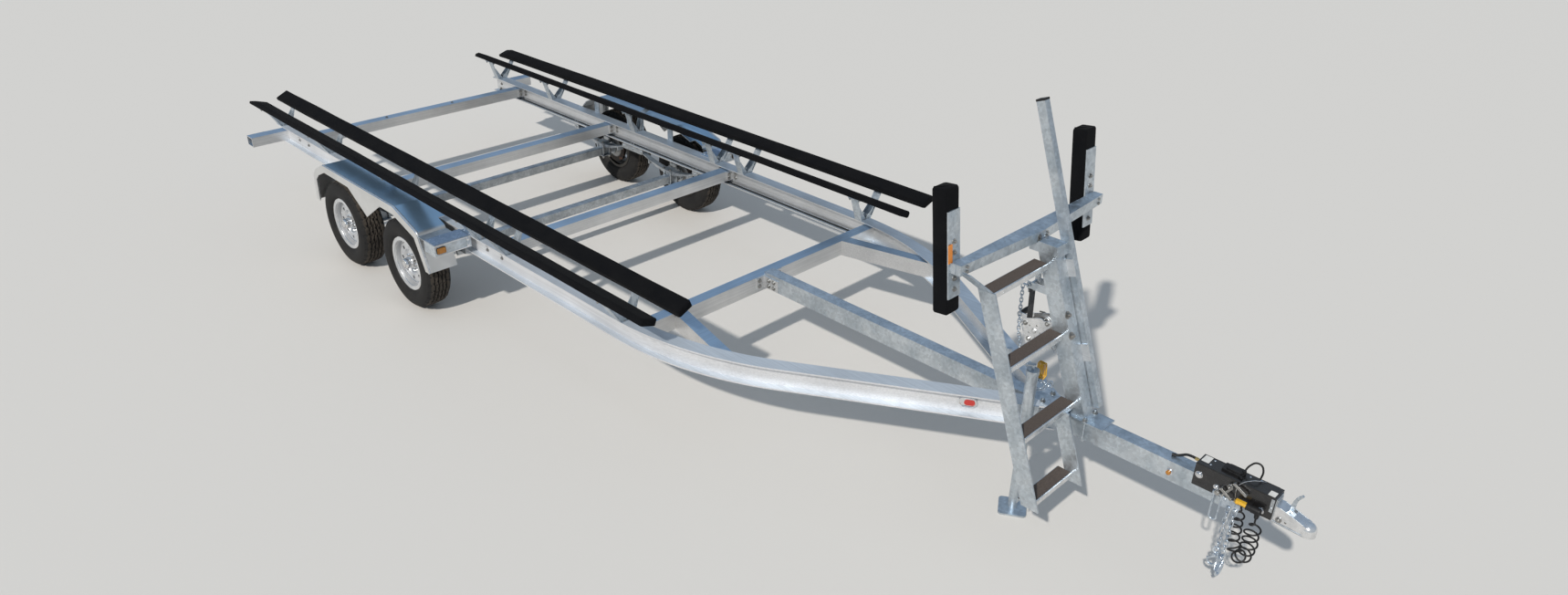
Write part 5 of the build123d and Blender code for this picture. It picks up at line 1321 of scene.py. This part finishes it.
# Coupler: place along x, height and width of the lever's blade
LEVER = [(3.868, 0.602, 0.018), (3.8665, 0.622, 0.0175), (3.867, 0.641, 0.016), (3.8695, 0.658, 0.0145),
         (3.8745, 0.674, 0.013), (3.882, 0.687, 0.011), (3.891, 0.698, 0.008)]
NOSE_X = 3.944
NOSE_RADIUS = 0.032


def make_coupler_details():
    """Latch lever on its block, the neck's bright edges and the lip along the foot."""
    lever, edges, bolts = bmesh.new(), bmesh.new(), bmesh.new()
    put_rod(lever, (3.868, -0.016, 0.614), (3.868, 0.016, 0.614), 0.005, 16)
    for (x0, z0, w0), (x1, z1, w1) in zip(LEVER, LEVER[1:]):
        start, end = Vector((x0, 0, z0)), Vector((x1, 0, z1))
        along = end - start
        size = ((w0 + w1) / 2, 0.012, along.length + 0.003)
        put_box(lever, (start + end) / 2, size, along.cross(Vector((0, -1, 0))), along)
    finish_piece(lever, "coupler_lever", "galvanised", bevel=0.001, replaces=("coupler_latch",))
    for side in (-1, 1):
        put_rod(edges, (3.8285, side * 0.0318, 0.617), (3.928, side * 0.03, 0.5848), 0.0018, 12)
        put_box(edges, (3.872, side * 0.0095, 0.6065), (0.03, 0.005, 0.02), (1, 0, -0.325), (0.325, 0, 1))
    foot = [(3.812, -0.031, 0.543), (3.87, -0.0315, 0.539), (3.915, -NOSE_RADIUS, 0.537)]
    angles = [math.pi * (k / 16 - 0.5) for k in range(17)]
    nose = [(NOSE_X + NOSE_RADIUS * math.cos(a), NOSE_RADIUS * math.sin(a), 0.5365) for a in angles]
    put_sweep(edges, foot + nose + [(x, -y, z) for x, y, z in foot[::-1]], 0.004, 12)
    finish_piece(edges, "coupler_edges", "galvanised_dull")
    for side in (-1, 1):
        put_rod(bolts, (3.862, side * 0.0305, 0.56), (3.862, side * 0.0335, 0.56), 0.0048, 16)
        put_bolt(bolts, (3.834, side * 0.0335, 0.56), (0, side, 0))
    finish_piece(bolts, "coupler_bolts", "zinc")


make_coupler_details()

# Safety chains: place, count of links and way of the hook; length, width and wire of a link
CHAINS = ((3.636, 8, Vector((-1, 0, 0))), (3.664, 9, Vector((0, -1, 0))))
CHAIN_Y = -0.052
CHAIN_LINK = (0.04, 0.024, 0.0058)
LINK_TOP = 0.525
LINK_PITCH = 0.028
SHACKLE_Y = -0.048
DOWN = Vector((0, 0, -1))


def put_hook(bm, eye, way):
    """Slip hook: eye, shank, throat and tip in one bend, with a spring latch across the throat."""
    flank = way.cross(DOWN)

    def at(drop, out, side=0.0):
        return eye + DOWN * drop + way * out + flank * side

    put_sweep(bm, ring_points(at(0.013, 0), way, DOWN, 0.014, 0.015), 0.0058, 14, True)
    path = rounded_path([at(0.024, -0.004), at(0.044, -0.017), at(0.07, -0.02), at(0.1, -0.004),
                         at(0.096, 0.026), at(0.066, 0.032)], 0.02, 7)
    shares = [k / len(path) for k in range(len(path))]
    sizes = [0.0082 + 0.0038 * math.sin(math.pi * min(1.0, s / 0.72)) - 0.02 * max(0.0, s - 0.75)
             for s in shares]
    put_sweep(bm, path, sizes, 16, flat=0.8)
    for side in (-1, 1):
        latch = [at(0.03, -0.006, side * 0.0115), at(0.046, 0.01, side * 0.011),
                 at(0.068, 0.027, side * 0.0075)]
        put_sweep(bm, latch, [0.007, 0.0058, 0.004], 10, flat=0.35)
    put_rod(bm, at(0.033, 0, -0.014), at(0.033, 0, 0.014), 0.004, 14)
    span = way + DOWN * 1.5
    put_box(bm, at(0.052, 0.0165), (0.0035, 0.018, 0.044), flank.cross(span), span)


def make_safety_chains():
    bm = bmesh.new()
    rng = random.Random(11)
    for x, count, _ in CHAINS:
        for k in range(count):
            turn = (math.pi / 2 if k % 2 else 0.0) + rng.uniform(-0.12, 0.12)
            across = Vector((math.cos(turn), math.sin(turn), 0))
            z = LINK_TOP - CHAIN_LINK[0] / 2 - k * LINK_PITCH
            middle = Vector((x + rng.uniform(-0.0008, 0.0008), CHAIN_Y, z))
            put_link(bm, middle, DOWN, across, *CHAIN_LINK, 8, 10)
    put_box(bm, (3.639, CHAIN_Y + 0.006, 0.5335), (0.076, 0.006, 0.053))
    for x in (3.612, 3.666):
        put_dome(bm, (x, CHAIN_Y + 0.003, 0.548), (0, -1, 0), 0.009, 0.005)
    shackle = [(3.5625, SHACKLE_Y, 0.562), (3.5635, SHACKLE_Y - 0.0005, 0.424),
               (3.5965, SHACKLE_Y - 0.0005, 0.424), (3.5975, SHACKLE_Y, 0.562)]
    put_sweep(bm, rounded_path(shackle, 0.0164, 8), 0.0042, 12)
    put_rod(bm, (3.556, SHACKLE_Y, 0.56), (3.604, SHACKLE_Y, 0.56), 0.0052, 14)
    for x in (3.5625, 3.5975):
        put_rod(bm, (x, SHACKLE_Y, 0.552), (x, SHACKLE_Y, 0.57), 0.0085, 18)
    for x, count, way in CHAINS:
        low = LINK_TOP - count * LINK_PITCH - (CHAIN_LINK[0] - LINK_PITCH)
        put_hook(bm, Vector((x, CHAIN_Y, low + 0.004)), way)
    finish_piece(bm, "chains_and_hooks", "hook_zinc", angle=45, replaces=("safety_chains",))


make_safety_chains()
make_case_arms()

# Curly lead: its route from the gland under the case round to the plug, and the coils along it
LEAD_ROUTE = [(3.675, -0.013, 0.539), (3.677, -0.016, 0.497), (3.679, -0.018, 0.448), (3.68, -0.019, 0.398),
              (3.684, -0.023, 0.35), (3.697, -0.031, 0.314), (3.718, -0.046, 0.299), (3.74, -0.06, 0.312),
              (3.756, -0.068, 0.344), (3.761, -0.07, 0.394), (3.759, -0.07, 0.444), (3.757, -0.069, 0.494),
              (3.757, -0.067, 0.538)]
LEAD_DIAMETER = 0.008
LEAD_TURNS = 13
LEAD_PER_TURN = 16
LEAD_COIL = (0.021, 0.032)
LEAD_STRAIGHT = 0.016
PLUG_Z = 0.578


def spline_curve(name, points, bevel=0.0):
    data = bpy.data.curves.new(name, "CURVE")
    data.dimensions = "3D"
    spline = data.splines.new("NURBS")
    spline.points.add(len(points) - 1)
    for point, place in zip(spline.points, points):
        point.co = (*place, 1)
    spline.order_u = 3
    spline.use_endpoint_u = True
    data.bevel_depth = bevel
    data.bevel_resolution = 4
    data.use_fill_caps = bevel > 0
    return bpy.data.objects.new(name, data)


def smooth_step(share):
    share = min(max(share, 0.0), 1.0)
    return share * share * (3 - 2 * share)


def coil_points(route):
    line = [v.co.copy() for v in bpy.data.meshes.new_from_object(spline_curve("lead_route", route)).vertices]
    reach = [0.0]
    for a, b in zip(line, line[1:]):
        reach.append(reach[-1] + (b - a).length)
    count = LEAD_TURNS * LEAD_PER_TURN
    points = [line[0]]
    side = Vector(Y)
    index = 0
    for share in (k / count for k in range(count + 1)):
        at = LEAD_STRAIGHT + (reach[-1] - 2 * LEAD_STRAIGHT) * share
        while index < len(line) - 2 and reach[index + 1] < at:
            index += 1
        part = (at - reach[index]) / (reach[index + 1] - reach[index])
        along = (line[index + 1] - line[index]).normalized()
        side = (side - along * side.dot(along)).normalized()
        angle = 2 * math.pi * LEAD_TURNS * share
        grown = smooth_step(share * 12) * smooth_step((1 - share) * 12)
        radius = grown * (LEAD_COIL[0] + (LEAD_COIL[1] - LEAD_COIL[0]) * smooth_step(share * 1.6 - 0.2)
                          + 0.0015 * math.sin(2.7 * share * LEAD_TURNS))
        centre = line[index].lerp(line[index + 1], part)
        points.append(centre + side * radius * math.cos(angle) + along.cross(side) * radius * math.sin(angle))
    return points + [line[-1]]


def make_plug():
    """Moulded boot, black body and a yellow socket face with its flap, held by a clip on the case."""
    black, yellow, pins = bmesh.new(), bmesh.new(), bmesh.new()
    end = Vector(LEAD_ROUTE[-1])
    profile = [(0.0052, 0.0), (0.0066, 0.002)]
    for k in range(5):
        low, neck, rib = 0.004 + 0.0056 * k, 0.0072 + 0.0008 * k, 0.0088 + 0.0008 * k
        profile += [(neck, low), (rib, low + 0.0012), (rib, low + 0.0034), (neck, low + 0.0044)]
    profile += [(0.0125, 0.032), (0.013, 0.034), (0.013, 0.04)]
    put_turned(black, placed(end, X, Z), profile, 24)
    put_turned(black, placed((3.77, end.y, PLUG_Z), Y, (-1, 0, 0)),
               [(0.0, 0.0), (0.012, 0.0), (0.0155, 0.003), (0.016, 0.006), (0.016, 0.04), (0.0145, 0.042),
                (0.0145, 0.056), (0.016, 0.058), (0.016, 0.062), (0.0, 0.062)], 32)
    for k in range(5):
        ring = ring_points((3.758 - 0.006 * k, end.y, PLUG_Z), Y, Z, 0.016, 0.016, 28)
        put_sweep(black, ring, 0.0011, 6, True)
    clip_y = (-CASE_HALF + end.y + 0.016) / 2
    put_box(black, (3.711, clip_y, PLUG_Z), (0.026, abs(end.y + 0.014 + CASE_HALF), 0.022))
    put_turned(yellow, placed((3.708, end.y, PLUG_Z), Y, (-1, 0, 0)),
               [(0.0, 0.0), (0.009, 0.0), (0.01, 0.002), (0.01, 0.008), (0.0085, 0.01), (0.0085, 0.034),
                (0.0105, 0.036), (0.0105, 0.044), (0.008, 0.046), (0.0, 0.046)], 28)
    put_box(yellow, (3.683, end.y, 0.5885), (0.044, 0.018, 0.004))
    for y in (end.y + k * 0.0048 for k in range(-2, 3)):
        put_rod(pins, (3.6625, y, PLUG_Z), (3.656, y, PLUG_Z), 0.0016, 10)
    return [finish_piece(black, "lead_plug_body", "black_plastic", bevel=0.0006, replaces=("lead_plug",)),
            finish_piece(yellow, "lead_plug_face", "yellow", bevel=0.001),
            finish_piece(pins, "lead_plug_pins", "brass")]


def make_lead():
    pieces = make_plug()
    lead = spline_curve("curly_lead", coil_points(LEAD_ROUTE), LEAD_DIAMETER / 2)
    scene.collection.objects.link(lead)
    paint(lead, "black_plastic")
    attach(lead, "chassis")
    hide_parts("trailer_lead")


make_lead()


# Stage: pale floor, soft light
def make_stage():
    bpy.ops.mesh.primitive_plane_add(size=120, location=(0, 0, -0.0005))
    floor = bpy.context.object
    floor.name = "floor"
    tree, _, shader = new_material("floor")
    feed(tree, shader, Base_Color=(0.7, 0.68, 0.65, 1), Roughness=0.9)
    paint(floor, "floor")
    world = bpy.data.worlds.new("world")
    scene.world = world
    world.use_nodes = True
    feed(world.node_tree, world.node_tree.nodes["Background"], Color=(0.74, 0.86, 1.0, 1), Strength=0.44)
    sun = bpy.data.lights.new("sun", "SUN")
    sun.energy = 2.85
    sun.angle = math.radians(1.6)
    sun.color = (1.0, 0.95, 0.88)
    lamp = bpy.data.objects.new("sun", sun)
    lamp.rotation_euler = Vector((-0.36, 1.08, -1.0)).to_track_quat("-Z", "Y").to_euler()
    scene.collection.objects.link(lamp)


make_stage()
